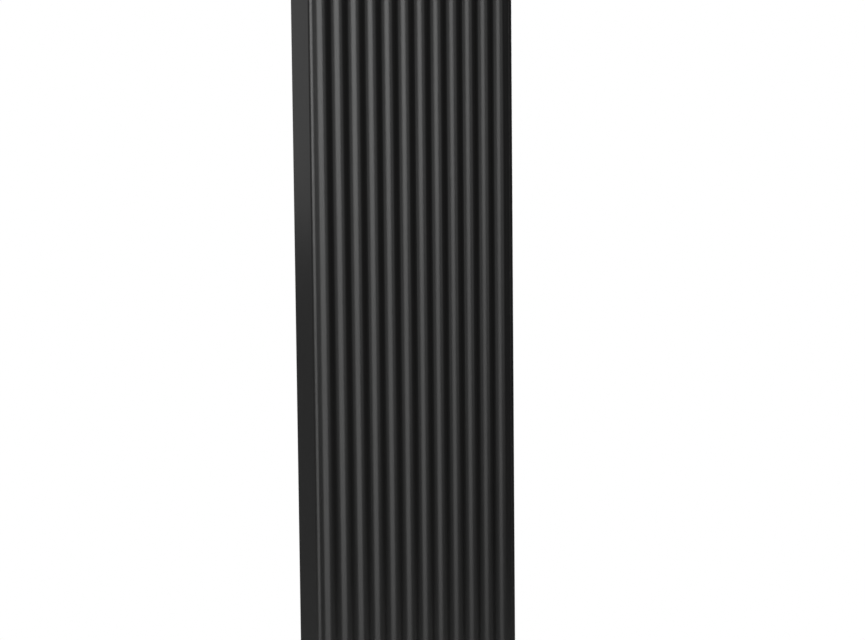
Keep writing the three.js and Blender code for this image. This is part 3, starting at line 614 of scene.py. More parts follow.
def bead_tree():
    """A rippled bead of weld that follows an outline."""
    sizes = {"Radius": 0.0012, "Ripple": 0.0012, "Steps": 160}
    tree, given = new_tree("Weld bead", sizes)
    path = add(tree, "GeometryNodeMeshToCurve", {0: given["Geometry"]})
    even = add(tree, "GeometryNodeResampleCurve", {"Curve": path, "Count": given["Steps"]})
    here = add(tree, "GeometryNodeInputPosition")
    scale = add(tree, MATH, {0: 1.0, 1: given["Ripple"]}, operation="DIVIDE")
    ripple = add(tree, "ShaderNodeTexNoise", {"Vector": here, "Scale": scale, "Detail": 1.0})
    swell = add(tree, "ShaderNodeMapRange", {0: ripple, 3: 0.8, 4: 1.2})
    uneven = add(tree, "GeometryNodeSetCurveRadius", {"Curve": even, "Radius": swell})
    round_wire = {"Resolution": 12, "Radius": given["Radius"]}
    section = add(tree, "GeometryNodeCurvePrimitiveCircle", round_wire)
    bead = add(tree, "GeometryNodeCurveToMesh", {"Curve": uneven, "Profile Curve": section})
    return close_tree(tree, bead, given["Material"])


# ---------- materials ----------

# textures other than plain noise, with their inputs and settings
TEXTURES = {
    "marks": ("ShaderNodeTexWave", {"Distortion": 0.6}, {"bands_direction": "X"}),
    "pebble": ("ShaderNodeTexVoronoi", {}, {}),
}
METAL = {"Metallic": 1.0}


def surface(name, patterns, tone, dull, bumps=(), shader=METAL):
    """A finish whose colour, roughness and relief follow patterns of real sizes.

    patterns gives each texture's size in millimetres, then perhaps its detail and its stretch.
    tone is a pattern and two colours. dull is a roughness, or a pattern, two roughnesses and
    perhaps the two values of the pattern that they stand for. bumps are patterns with a strength
    and a height in millimetres, each laid on the one before.
    """
    made = bpy.data.materials.new(name)
    made.use_nodes = True
    tree = made.node_tree
    tree.nodes.clear()
    place = add(tree, "ShaderNodeTexCoord").outputs["Object"]
    drawn = {}
    for key, (size, *more) in patterns.items():
        detail, stretch = (more + [None, None])[:2]
        kind, inputs, settings = TEXTURES.get(key, ("ShaderNodeTexNoise", {}, {}))
        inputs = {"Vector": place, "Scale": 1 / (size * MM), **inputs}
        if detail is not None:
            inputs["Detail"] = detail
        if stretch:
            inputs["Vector"] = add(
                tree, "ShaderNodeMapping", {"Vector": place, "Scale": stretch}
            )
        drawn[key] = add(tree, kind, inputs, **settings)
    key, *colours = tone
    one, other = [linear(c) + (1,) if isinstance(c, str) else c for c in colours]
    mixed = add(tree, "ShaderNodeMix", {0: drawn[key], 6: one, 7: other}, data_type="RGBA")
    if isinstance(dull, tuple):
        key, low, high, start, stop = (*dull, 0.0, 1.0)[:5]
        spread = {0: drawn[key], 1: start, 2: stop, 3: low, 4: high}
        dull = add(tree, "ShaderNodeMapRange", spread)
    relief = {}
    for key, strength, height in bumps:
        inputs = {"Height": drawn[key], "Strength": strength, "Distance": height * MM, **relief}
        relief = {"Normal": add(tree, "ShaderNodeBump", inputs)}
    inputs = {"Base Color": mixed.outputs[2], "Roughness": dull, **relief, **shader}
    skin = add(tree, "ShaderNodeBsdfPrincipled", inputs)
    add(tree, "ShaderNodeOutputMaterial", {"Surface": skin})
    return made


def tinted(colour, *factors):
    return [tuple(min(1.0, c * factor) for c in colour[:3]) + (1.0,) for factor in factors]


def satin_powder_coat(colour, roughness):
    # Polyester powder coat, sprayed on extruded aluminium and stoved: an even satin skin with a
    # faint orange peel of 3 mm, and a fine grain that softens what it reflects. The real grain is
    # about 0.1 mm and is drawn at 0.8 mm so that it shows. Faint lines from drawing the metal
    # run up it.
    return surface(
        "satin powder coat",
        {"peel": (3, 1.0), "grain": (0.8, 3.0), "cloud": (70, 3.0),
         "lines": (4, 2.0, (1, 1, 0.004))},
        ("cloud", *tinted(colour, 0.94, 1.06)),
        ("grain", roughness - 0.03, roughness + 0.03, 0.3, 0.7),
        [("grain", 0.35, 0.02), ("peel", 0.5, 0.03), ("lines", 0.25, 0.02)],
        {"IOR": 1.5},
    )


def matte_steel_coat(colour):
    # Epoxy powder coat on bent sheet steel: matt, with a coarser 1.2 mm texture that hides the
    # marks of bending, and a little paler where it is thin.
    return surface(
        "matte coated steel", {"grain": (1.2, 3.0), "cloud": (25, 3.0)},
        ("cloud", *tinted(colour, 0.8, 1.3)), ("grain", 0.52, 0.7), [("grain", 0.5, 0.08)],
        {"IOR": 1.52},
    )


def zinc_plate():
    # Bright zinc plate with clear passivation on steel: bluish silver, clouded in patches of
    # 6 mm with a trace of yellow, over the faint scratches of handling.
    return surface(
        "bright zinc plate", {"patch": (6, 4.0), "scratch": (0.6, 2.0, (0.15, 1, 1))},
        ("patch", "a9b2bd", "cfcabb"), ("patch", 0.2, 0.42), [("scratch", 0.4, 0.03)],
    )


def satin_nickel(colour):
    # Nickel plate on blasted brass: a warm silver with a soft sheen. The blasting leaves a grain
    # of 0.1 mm, drawn at 0.5 mm so that it shows, and handling leaves it a little uneven.
    return surface(
        "satin nickel plate", {"grain": (0.5, 3.0), "cloud": (14, 3.0)},
        ("cloud", *tinted(colour, 0.9, 1.08)), ("cloud", 0.24, 0.34, 0.3, 0.7),
        [("grain", 0.35, 0.03)],
    )


def turned_brass(colour):
    # Free-cutting brass straight from the lathe: yellow, with tool marks 0.2 mm apart across X,
    # drawn 0.5 mm apart so that they show, and slightly browned patches.
    return surface(
        "turned brass", {"marks": (3.2,), "cloud": (5, 4.0)},
        ("cloud", *tinted(colour, 0.8, 1.12)), ("cloud", 0.18, 0.36), [("marks", 0.3, 0.02)],
    )


def moulded_head(colour):
    # Glass-filled nylon, injection moulded in a spark-eroded tool: near black and matt, with a
    # pebbled grain of 0.15 mm, drawn at 0.7 mm so that it shows.
    return surface(
        "moulded black nylon", {"pebble": (0.7,), "cloud": (12, 2.0)},
        ("cloud", *tinted(colour, 0.85, 1.2)), ("pebble", 0.42, 0.56, 0.0, 0.8),
        [("pebble", 0.4, 0.05)], {"IOR": 1.53},
    )


def printed_marks():
    # Pad-printed ink on the head: an even warm white, matt, a trace thin in places.
    return surface(
        "printed white ink", {"thin": (0.9, 2.0)}, ("thin", "b9bab8", "e4e4e0"), 0.6,
        shader={"IOR": 1.48},
    )


def seal_rubber():
    # EPDM rubber, compression moulded: charcoal, dull, with a dusty bloom in patches of 4 mm.
    return surface(
        "EPDM rubber", {"bloom": (4, 4.0)}, ("bloom", "151515", "2c2c2b"), 0.82,
        [("bloom", 0.4, 0.05)], {"IOR": 1.52},
    )


def natural_nylon():
    # Unfilled nylon, injection moulded: milky, waxy and slightly see-through, with the faint
    # streaks where it flowed along the tool.
    return surface(
        "natural nylon", {"streak": (2.5, 3.0, (0.2, 1, 1))}, ("streak", "cdc9bb", "e9e6da"),
        0.42, [("streak", 0.3, 0.05)],
        {"IOR": 1.53, "Subsurface Weight": 0.15, "Subsurface Scale": 0.002},
    )


def spring_wire():
    # Stainless wire and turned pins, drawn and polished: a grey mirror with fine streaks along X.
    return surface(
        "polished stainless steel", {"streak": (0.7, 3.0, (0.1, 1, 1))},
        ("streak", "8e9093", "b8babc"), ("streak", 0.12, 0.3),
    )


def mill_aluminium():
    # Aluminium plate as rolled: pale grey metal with fine rolling lines and dull patches.
    return surface(
        "mill aluminium", {"lines": (0.8, 3.0, (1, 1, 0.05))}, ("lines", "b7b9bb", "d3d5d6"),
        ("lines", 0.3, 0.5),
    )


def studio_paper():
    # Matt white paper on the studio floor: bright and even, with a barely visible mottle.
    return surface(
        "studio paper", {"mottle": (40, 2.0)}, ("mottle", "e9e9e7", "efefed"), 0.9,
        shader={"IOR": 1.4},
    )


MADE = {}


def finish_of(maker, *values):
    """What a maker of finishes or trees gives, made once."""
    if maker.__name__ not in MADE:
        MADE[maker.__name__] = maker(*values)
    return MADE[maker.__name__]


def casing_finish():
    casing = bpy.context.scene.radiator_casing
    return finish_of(satin_powder_coat, tuple(casing.coat_colour), casing.coat_roughness)


def nickel_finish():
    return finish_of(satin_nickel, tuple(bpy.context.scene.radiator_valve.nickel_colour))


def brass_finish():
    return finish_of(turned_brass, tuple(bpy.context.scene.radiator_valve.brass_colour))


def head_finish():
    return finish_of(moulded_head, tuple(bpy.context.scene.radiator_head.head_colour))


def steel_coat_finish():
    return finish_of(matte_steel_coat, tuple(bpy.context.scene.radiator_casing.rail_colour))


# ---------- settings ----------


class CasingSettings(bpy.types.PropertyGroup):
    rib_pitch: FloatProperty(
        name="Rib pitch", description="Distance from one rib's crest to the next",
        default=0.025, unit="LENGTH",
    )
    rib_depth: FloatProperty(
        name="Rib depth", description="Height of a rib's crest over the valley",
        default=0.005, unit="LENGTH",
    )
    sheet: FloatProperty(
        name="Sheet", description="Thickness of the fluted skin",
        default=0.002, unit="LENGTH",
    )
    coat_colour: FloatVectorProperty(
        name="Coat colour", description="Colour of the casing's powder coat",
        default=linear("191919"), subtype="COLOR", min=0, max=1,
    )
    coat_roughness: FloatProperty(
        name="Coat roughness", description="How matt the casing's powder coat is",
        default=0.36, min=0, max=1,
    )
    rail_colour: FloatVectorProperty(
        name="Rail colour", description="Colour of the wall rails' powder coat",
        default=linear("1a1a1b"), subtype="COLOR", min=0, max=1,
    )


class ValveSettings(bpy.types.PropertyGroup):
    nickel_colour: FloatVectorProperty(
        name="Nickel colour", description="Colour of the plated valve block and nuts",
        default=linear("c3bcb0"), subtype="COLOR", min=0, max=1,
    )
    brass_colour: FloatVectorProperty(
        name="Brass colour", description="Colour of the bare brass parts",
        default=linear("d2ac62"), subtype="COLOR", min=0, max=1,
    )


class HeadSettings(bpy.types.PropertyGroup):
    head_colour: FloatVectorProperty(
        name="Head colour", description="Colour of the thermostat head's plastic",
        default=linear("1b1b1c"), subtype="COLOR", min=0, max=1,
    )
    flutes: IntProperty(
        name="Flutes", description="Number of flutes round the grip", default=12, min=3, max=48,
    )
    flute_depth: FloatProperty(
        name="Flute depth", description="How deep the flutes round the grip are",
        default=0.0012, unit="LENGTH",
    )
    sweep: FloatProperty(
        name="Sweep", description="Turn of the cap from closed to fully open",
        default=math.radians(290), subtype="ANGLE",
    )


class StudioSettings(bpy.types.PropertyGroup):
    lens: FloatProperty(
        name="Lens", description="Focal length in millimetres", default=53.51, unit="CAMERA",
    )
    camera_height: FloatProperty(
        name="Camera height", description="Height of the camera over the lower wall rail",
        default=0.91, unit="LENGTH",
    )
    key_power: FloatProperty(
        name="Key light", description="Power of the main light", default=21.0, unit="POWER",
    )
    fill_power: FloatProperty(
        name="Fill light", description="Power that the softer lights are shares of",
        default=12.0, unit="POWER",
    )


SETTINGS = {
    "radiator_casing": CasingSettings, "radiator_valve": ValveSettings,
    "radiator_head": HeadSettings, "radiator_studio": StudioSettings,
}


# ---------- casing ----------


def core_outline():
    """Water tube with its webs to the skin and its fins to the rear, seen from above."""
    fin, half = 12.5, 1.0  # a fin's middle and half its thickness
    front, rear = TUBE_Y - 8, TUBE_Y + 8
    skin, foot, tip = -108.6, -36.0, -34.0  # a web's front end, and a foot's two faces
    right = [
        (fin - half, front, 1.2), (fin - half, skin, 0), (fin + half, skin, 0),
        (fin + half, front, 1.2), (20, front, 5), (20, rear, 5), (fin + half, rear, 1.2),
        (fin + half, foot, 1.2), (fin + 8, foot, 0.6), (fin + 8, tip, 0.6), (fin - 8, tip, 0.6),
        (fin - 8, foot, 0.6), (fin - half, foot, 1.2), (fin - half, rear, 1.2),
    ]
    left = [(-u, v, radius) for u, v, radius in reversed(right)]
    return rounded([p[:2] for p in right + left], [p[2] for p in right + left])


def make_elements():
    casing, coat, tree = bpy.context.scene.radiator_casing, casing_finish(), fluted_tree()
    ribs, steps, between_headers = 3, 28, (-55.7, 1620.7)
    for number in range(1, 5):
        node = f"element_{number}"
        low, high = box_mm(node)
        centre = (low.x + high.x) / 2
        skin = piece(f"fluted_{node}", [], coat)
        modify(
            skin, tree, centre=centre * MM, width=casing.rib_pitch * ribs - SEAM * MM,
            height=(high.z - low.z) * MM, foot=low.z * MM, pitch=casing.rib_pitch,
            depth=casing.rib_depth, sheet=casing.sheet, valley=low.y * MM + casing.rib_depth,
            ribs=ribs, steps=steps, material=coat,
        )
        edge_bevel(settle(skin), 0.2)
        bore, at = rectangle(36, 12, 3, (0, TUBE_Y)), (centre, 0, 0)
        tube = prism(core_outline(), between_headers, "z", at, 0.2, [bore])
        fit(weld(skin, piece(node + ".core", [tube], coat)), node)


def make_side_panels():
    coat, land, lip = casing_finish(), FRONT_HALF + SEAM / 2, 10
    for side, sign in SIDES:
        node = f"{side}_side_panel"
        low, high = box_mm(node)
        out = high.x if sign > 0 else -low.x
        rear, inner = high.y, out - SHEET
        points = [
            (out - lip, rear), (out - lip, rear - SHEET), (inner, rear - SHEET),
            (inner, low.y + SHEET), (land, low.y + SHEET), (land, low.y), (out, low.y),
            (out, rear),
        ]
        radii = [0.4, 0.4, 0.4, CORNER - SHEET, 0.2, 0.2, CORNER, 1.2]
        outline = rounded([(sign * u, v) for u, v in points], radii, 12)
        wall = prism(outline, (low.z, high.z), "z", chamfer=0.18)
        panel = piece(f"{side}_panel", [wall], coat)
        if sign > 0:  # the hole for the vent key, with a broken edge
            hole = [(0, out - 4), (15, out - 4), (15, out - 0.5), (17, out + 1.5), (0, out + 1.5)]
            carve(panel, [turned(hole, "x", (0, VENT.y, VENT.z), 96, 0)])
        fit(panel, node)


def make_grille():
    casing, coat = bpy.context.scene.radiator_casing, casing_finish()
    low, high = box_mm("top_grille")
    pitch, depth = casing.rib_pitch / MM, casing.rib_depth / MM
    steps, clearance = 12 * 12, 2.6  # twelve steps a rib, and the way in from the ribs' faces
    crest = -FRONT_HALF + pitch / 2
    front = []
    for i in range(steps + 1):
        x = -FRONT_HALF + 2 * FRONT_HALF * i / steps
        wave = (1 + math.cos(2 * math.pi * (x - crest) / pitch)) / 2
        front.append((x, VALLEY - depth * wave + clearance))
    rear, side = high.y, VALLEY + CORNER + 0.6
    back = rounded([(low.x, side), (low.x, rear), (high.x, rear), (high.x, side)], 1.0, 4)
    grille = outline_object("top_air_grille", [(u, v, 0) for u, v in front + back[::-1]])
    modify(grille, grille_tree(), top=high.z * MM, pitch=casing.rib_pitch, material=coat)
    edge_bevel(settle(grille, coat), 0.3, 2)
    legs, foot, under = [], low.z, high.z - 0.4
    for _, sign in SIDES:
        bend = [
            (foot, 49), (under, 49), (under, 51), (foot + 1.5, 51), (foot + 1.5, 55), (foot, 55),
        ]
        bend = rounded([(z, sign * x) for z, x in bend], [1.5, 0, 0, 0.4, 0.4, 0.4], 5)
        legs.append(prism(bend, (TUBE_Y - 8, TUBE_Y + 8), "y", chamfer=0.3))
    fit(weld(grille, piece("legs", legs, coat)), "top_grille", "grille")


def make_headers():
    coat, bead = casing_finish(), bead_tree()
    depth, height, corner = HEADER
    outer, inner = rectangle(*HEADER), rectangle(31, 29, 4.5)
    filling, seam_path = rectangle(30.4, 28.4, 4.5), rectangle(depth + 0.4, height + 0.4, corner)
    seam_x = HEADER_HALF + 0.15  # middle of the gap that the weld fills
    for level in ("top", "bottom"):
        low, high = box_mm(f"{level}_header")
        z = high.z - height / 2
        at = (0, TUBE_Y, z)
        shells = [prism(outer, (low.x, high.x), "x", at, 0.4, [inner])]
        if level == "bottom":
            for _, sign in SIDES:
                boss = ring_section(9.5, 13, low.z, low.z + 8)
                shells.append(turned(boss, "z", (sign * PORT_X, TUBE_Y, 0), 64, 0.8, 4))
        header = piece(f"{level}_header_tube", shells, coat)
        for _, sign in SIDES:
            path = [(sign * seam_x, u + TUBE_Y, v + z) for u, v in seam_path]
            run = outline_object("bead", path)
            modify(run, bead, radius=0.8 * MM, ripple=2.0 * MM, steps=160, material=coat)
            weld(header, settle(run, coat))
        fit(header, f"{level}_header")
        for side, sign in SIDES:
            holes = [circle(10.5)] if level == "top" and sign > 0 else []
            plate = sorted((sign * (HEADER_HALF + 0.3), sign * (HEADER_HALF + 4.3)))
            spigot = sorted((sign * (HEADER_HALF - 5), sign * (HEADER_HALF + 0.4)))
            cap = piece(f"{level}_{side}_end_cap", [
                prism(outer, plate, "x", at, 0.9, holes),
                prism(filling, spigot, "x", at, 0.3, holes),
            ], coat)
            fit(cap, f"{level}_{side}_header_cap")
    keep("flow_baffle", finish_of(mill_aluminium))


def make_clips():
    zinc, foot, out, sheet = finish_of(zinc_plate), 118, 155.2, 1.5
    for level, rise in (("top", 1), ("bottom", -1)):
        for side, sign in SIDES:
            node = f"{level}_{side}_panel_clip"
            low, high = box_mm(node)
            root, tip = (low.z, high.z) if rise > 0 else (high.z, low.z)
            bend = [
                (root, foot), (root, out), (tip, out), (tip, out - sheet),
                (root + rise * sheet, out - sheet), (root + rise * sheet, foot),
            ]
            bend = rounded([(z, sign * x) for z, x in bend], [0.3, 2.2, 0.3, 0.3, 0.7, 0.3], 6)
            clip = piece(f"{level}_{side}_clip", [prism(bend, (low.y, high.y), "y")], zinc)
            hole = ring_section(0, 2.2, root - 4, root + 4)
            carve(clip, [turned(hole, "z", (sign * 128, TUBE_Y, 0), 32, 0)])
            fit(clip, node)


# ---------- wall fixings ----------

# sections of bent and moulded strips, as depth, height from the rail's centre, corner radius
RAIL = (
    (0, -25, 0.4), (0, 25, 0.4), (-2.5, 25, 0.4), (-2.5, 2.5, 0.8), (-18.5, 2.5, 0.8),
    (-18.5, 14, 0.4), (-21, 14, 0.4), (-21, 0, 3), (-2.5, 0, 0.8), (-2.5, -25, 0.4),
)
PAD = (
    (-21.3, 3.5, 0.2), (-21.3, 14.3, 0.3), (-18.2, 14.3, 0.3), (-18.2, 2.8, 0.2),
    (-17, 2.8, 0.3), (-17, 15.5, 1.3), (-22.5, 15.5, 1.3), (-22.5, 3.5, 0.3),
)
HOOK = (
    (-33.7, -30, 0.4), (-31.2, -30, 0.4), (-31.2, 16.3, 0.8), (-16, 16.3, 0.8), (-16, 4, 0.4),
    (-13.5, 4, 0.4),
)
HOOK_TOPS = {  # the upper hooks reach further back, for the levelling screw
    "lower": ((-13.5, 18.8, 3), (-33.7, 18.8, 3)),
    "upper": ((-13.5, 16.35, 0.5), (-5, 16.35, 0.4), (-5, 18.8, 0.4), (-33.7, 18.8, 3)),
}
SCREW_Y = -9.5  # depth of the levelling screws' axes
SLOT = (8, 20, 3.95)  # a rail slot's height, length and corner radius
SLOT_X, SLOT_DROP = 80, 12.5  # from the rail's centre to the middle of a slot
HOOK_HALF, PAD_HALF = 22, 20  # half the lengths of a hook and of a pad


def strip(section, half, at, steps=6, chamfer=0.3):
    """A length of strip along X, with the corners of its section rounded."""
    loop = rounded([p[:2] for p in section], [p[2] for p in section], steps)
    return prism(loop, (at[0] - half, at[0] + half), "x", (0, 0, at[2]), chamfer)


def make_wall_fixings():
    black, nylon, zinc = steel_coat_finish(), finish_of(natural_nylon), finish_of(zinc_plate)
    for level in ("lower", "upper"):
        node = f"{level}_wall_rail"
        low, high = box_mm(node)
        z = (low.z + high.z) / 2
        rail = piece(f"{level}_rail", [strip(RAIL, high.x, (0, 0, z))], black)
        for _, sign in SIDES:
            slot = rectangle(*SLOT, (z - SLOT_DROP, sign * SLOT_X))
            carve(rail, [prism(slot, (-6, 3), "y", chamfer=0.01)])
        fit(rail, node)
        for side, _ in SIDES:
            at = (middle(f"{level}_{side}_lug").x, 0, z)
            section = HOOK + HOOK_TOPS[level]
            hook = piece(f"{level}_{side}_hook", [strip(section, HOOK_HALF, at)], black)
            if level == "upper":
                carve(hook, [turned(
                    [(0, z + 14), (3.3, z + 14), (3.3, z + 18.4), (4.5, z + 19.6), (0, z + 19.6)],
                    "z", (at[0], SCREW_Y, 0), 48, 0,
                )])
            fit(hook, f"{level}_{side}_lug")
            cover = piece(f"{level}_{side}_pad", [strip(PAD, PAD_HALF, at, 5, 0.4)], nylon)
            fit(cover, f"{level}_{side}_rail_pad")
            if level == "upper":
                make_levelling_screw(side, (at[0], SCREW_Y, z), zinc)


def make_levelling_screw(side, at, zinc):
    shank = [(0, 2.8), (2.2, 2.8)] + thread(3, 1.0, (3.4, 22.0), 0.45)
    outline = shank + [(2.8, 22.8), (5, 22.8), (5, 27.8), (0, 27.8)]
    screw = piece(f"{side}_screw", [turned(outline, "z", at, 48, 0.25, 2)], zinc)
    socket = hex_nut(4, (24.8, 29), 0, "z", at, 48, ends=(True, False))
    fit(carve(screw, [socket]), f"{side}_levelling_screw")


# ---------- air vent ----------


def sink_grip(thing, at, ribs, depth, span, run, rim, material):
    """Sinks flutes round a turned part: their depth, the part of X they take with the run at
    each end, and the radii between which they fade in, all in millimetres."""
    modify(
        thing, finish_of(grip_tree), axis_y=at[1] * MM, axis_z=at[2] * MM, ribs=ribs,
        depth=depth * MM, run=run * MM, inner=rim[0] * MM, outer=rim[1] * MM,
        material=material, **{"from": span[0] * MM, "to": span[1] * MM},
    )
    return settle(thing)


def make_air_vent():
    nickel, plastic, at = nickel_finish(), head_finish(), tuple(VENT)
    body = [
        (1.2, -8), (10.2, -8), (10.2, 4.6), (11, 4.6), (11, 6.5), (7, 6.5), (7, 14.6),
        (8, 14.6), (8, 15.4), (4.3, 15.4), (4.3, 3), (1.2, 3),
    ]
    plug = [turned(body, "x", at, 64, 0.25), hex_nut(24, (5.8, 9.1), 6.9, "x", at)]
    fit(piece("air_vent_plug", plug, nickel), "vent_plug")
    screw = turned([(0, 3.5), (1.2, 3.5), (4, 6.5), (4, 13), (0, 13)], "x", at, 48, 0.3)
    key = prism(rectangle(5, 5, 0.5), (12, 16.2), "x", at, 0.5)
    made = piece("bleed_screw_square", [screw, key], brass_finish())
    fit(made, "vent_screw", "bleed_screw")
    ring = turned(ring_section(7.3, 10.4, 9.4, 14.3), "x", at, 192, 0.6, 4)
    grip = piece("nozzle_ring", [ring], plastic)
    sink_grip(grip, at, 32, 0.35, (VENT.x + 9.8, VENT.x + 13.9), 0.6, (9.4, 10.4), plastic)
    spout = [(1.2, -14), (1.8, -14), (2.4, -9.9), (1.2, -9.9)]
    tip = turned(spout, "z", (VENT.x + 11.85, VENT.y, VENT.z), 32, 0.2)
    fit(
        weld(grip, piece("spout", [tip], plastic)), "vent_nozzle_ring",
        "vent_nozzle",
    )
    keep("vent_seal", finish_of(seal_rubber))


# ---------- valve ----------


def make_unions():
    nickel, rubber = nickel_finish(), finish_of(seal_rubber)
    body = (
        [(6.5, 23.9), (12.2, 23.9)] + thread(13, 1.8, (24.5, 32.6)) + [(8.6, 33), (8.6, 36.4)]
        + thread(9.2, 1.4, (36.9, 46.5)) + [(6.5, 47)]
    )
    inside = [(13.8, 31.5), (13.3, 31.0), (13.3, 17), (9.3, 17), (9.3, 15.3), (9.8, 14.8)]
    for side, sign in SIDES:
        at = (sign * PORT_X, VALVE.y, VALVE.z)
        shells = [turned(body, "z", at, 64, 0), hex_nut(26, (32.7, 36.7), 8.4, "z", at)]
        fit(piece(f"{side}_union_nipple", shells, nickel), f"{side}_nipple")
        nut = piece(f"{side}_hex_union_nut", [hex_nut(30, (14.8, 31.5), inside, "z", at)], nickel)
        fit(nut, f"{side}_union_nut")
        keep(f"{side}_union_seal", rubber)
        keep(f"{side}_stem_seal", rubber)


def flow_arrow(sign, at):
    """A raised arrow on the block's face: up on the supply side and down on the return side."""
    shape = [(-7, -1.6), (1, -1.6), (1, -4.2), (7, 0), (1, 4.2), (1, 1.6), (-7, 1.6)]
    pointed = rounded([(sign * z, sign * x) for z, x in shape], 0.5, 3)
    return prism(pointed, (-17.5, -16.6), "y", at, 0.25)


def make_valve_block():
    nickel, at = nickel_finish(), tuple(VALVE)
    width, depth, corner, bottom, top = 82, 34, 5, -42, 12
    body = prism(rectangle(width, depth, corner), (bottom, top), "z", at, 1.0)
    block = piece("valve_block", [body], nickel)
    chamber = [(0, 17), (9.5, 17), (9.5, 40.4), (12.1, 43), (0, 43)]
    pocket = [(0, -19), (13.2, -19), (10.8, -16.6), (10.8, -14), (8.3, -14), (8.3, 8.3), (0, 8.3)]
    neck = [(6, 11), (9, 11), (9, 17.3), (12.5, 17.3), (12.5, 22.5), (6, 22.5)]
    foot = (
        [(8.5, -46), (8.5, -54.6), (9.9, -56), (11.6, -56)] + thread(13, 1.8, (-55.2, -44))
        + [(11.8, -43.6), (11.8, -41.5), (6, -41.5), (6, -46)]
    )
    tools, ends = [turned(chamber, "x", at, 64, 0)], []
    for _, sign in SIDES:
        x, y, z = sign * PORT_X, at[1], at[2]
        tools.append(turned(pocket, "y", (x, y, z - PLUG_DROP), 64, 0))
        ends += [
            turned(neck, "z", (x, y, z), 64, 0.4), turned(foot, "z", (x, y, z), 96, 0),
            flow_arrow(sign, (x, y, z - 5)),
        ]
    carve(block, tools)
    fit(weld(block, piece("ends", ends, nickel)), "valve_body")


def make_isolators():
    nickel, brass = nickel_finish(), brass_finish()
    stem = [(0, -18.5), (6, -18.5), (6, -11.7), (8, -11.7), (8, 8), (0, 8)]
    ring = ring_section(6.3, 10.5, -17.5, -14.3)
    for side, sign in SIDES:
        at = (sign * PORT_X, VALVE.y, VALVE.z - PLUG_DROP)
        plug = piece(f"{side}_isolator_stem", [turned(stem, "y", at, 64, 0.5)], brass)
        carve(plug, [prism(rectangle(14, 1.6, 0.1), (-20, -16.5), "y", at, 0.01)])
        fit(plug, f"{side}_isolator_plug", f"{side}_isolator")
        gland = piece(f"{side}_gland_nut", [turned(ring, "y", at, 64, 0.4)], nickel)
        carve(gland, [prism(rectangle(2, 24, 0.1), (-19, -16), "y", at, 0.01)])
        fit(gland, f"{side}_gland_ring")


def make_insert():
    brass, steel, at = brass_finish(), finish_of(spring_wire), tuple(VALVE)
    barrel = [(7, 45.2), (13.5, 45.2)] + thread(15, 1.5, (45.9, 55.4)) + [(13.5, 56), (7, 56)]
    shells = [
        turned(barrel, "x", at, 96, 0), turned(ring_section(2.8, 9.2, 30, 42), "x", at, 64, 0.4),
        hex_nut(27, (41.3, 46), 7.0, "x", at),
    ]
    fit(piece("insert_hexagon", shells, brass), "insert_body")
    for node, finish in (
        ("insert_gland", brass), ("insert_spindle", steel), ("valve_disc", finish_of(seal_rubber)),
        ("head_sensor", brass), ("head_plunger", steel),
    ):
        keep(node, finish)
    coil = spring_tree()
    for node, wire, turns in (("insert_spring", 1.0, 5), ("head_spring", 1.4, 5)):
        low, high = box_mm(node)
        spring = piece(f"{node}_coil", [], steel)
        modify(
            spring, coil, start=(low.x + wire / 2) * MM, length=(high.x - low.x - wire) * MM,
            axis_y=VALVE.y * MM, axis_z=VALVE.z * MM, turns=turns, wire=wire * MM,
            radius=((high.y - low.y) / 2 - wire / 2) * MM, material=steel,
        )
        fit(settle(spring), node)


# ---------- thermostat head ----------


def wrapped(name, text, size, along, angle, radius, material):
    """Text laid round the head's axis, a little proud of its surface."""
    lift, finest, longest = 0.12, 0.01, 0.8  # mm: half the text's thickness, and its edges' limits
    letters = bpy.data.curves.new(name, "FONT")
    letters.body, letters.size, letters.extrude = text, size * MM, lift * MM
    letters.align_x = letters.align_y = "CENTER"
    letters.resolution_u = 6
    laid = new_object(name, letters)
    graph = bpy.context.evaluated_depsgraph_get()
    mesh = bpy.data.meshes.new_from_object(laid.evaluated_get(graph))
    bpy.data.objects.remove(laid)
    bm = bmesh.new()
    bm.from_mesh(mesh)
    bmesh.ops.remove_doubles(bm, verts=bm.verts, dist=finest * MM)
    long_edges = [edge for edge in bm.edges if edge.calc_length() > longest * MM]
    bmesh.ops.subdivide_edges(bm, edges=long_edges, cuts=1)
    bmesh.ops.triangulate(bm, faces=bm.faces)
    for v in bm.verts:
        turn = angle - v.co.x / (radius * MM)
        reach = radius * MM + v.co.z
        v.co = Vector((
            (VALVE.x + along) * MM - v.co.y,
            VALVE.y * MM + reach * math.cos(turn), VALVE.z * MM + reach * math.sin(turn),
        ))
    outward(bm)
    bm.to_mesh(mesh)
    bm.free()
    mesh.materials.clear()
    mesh.materials.append(material)
    return new_object(name, mesh)


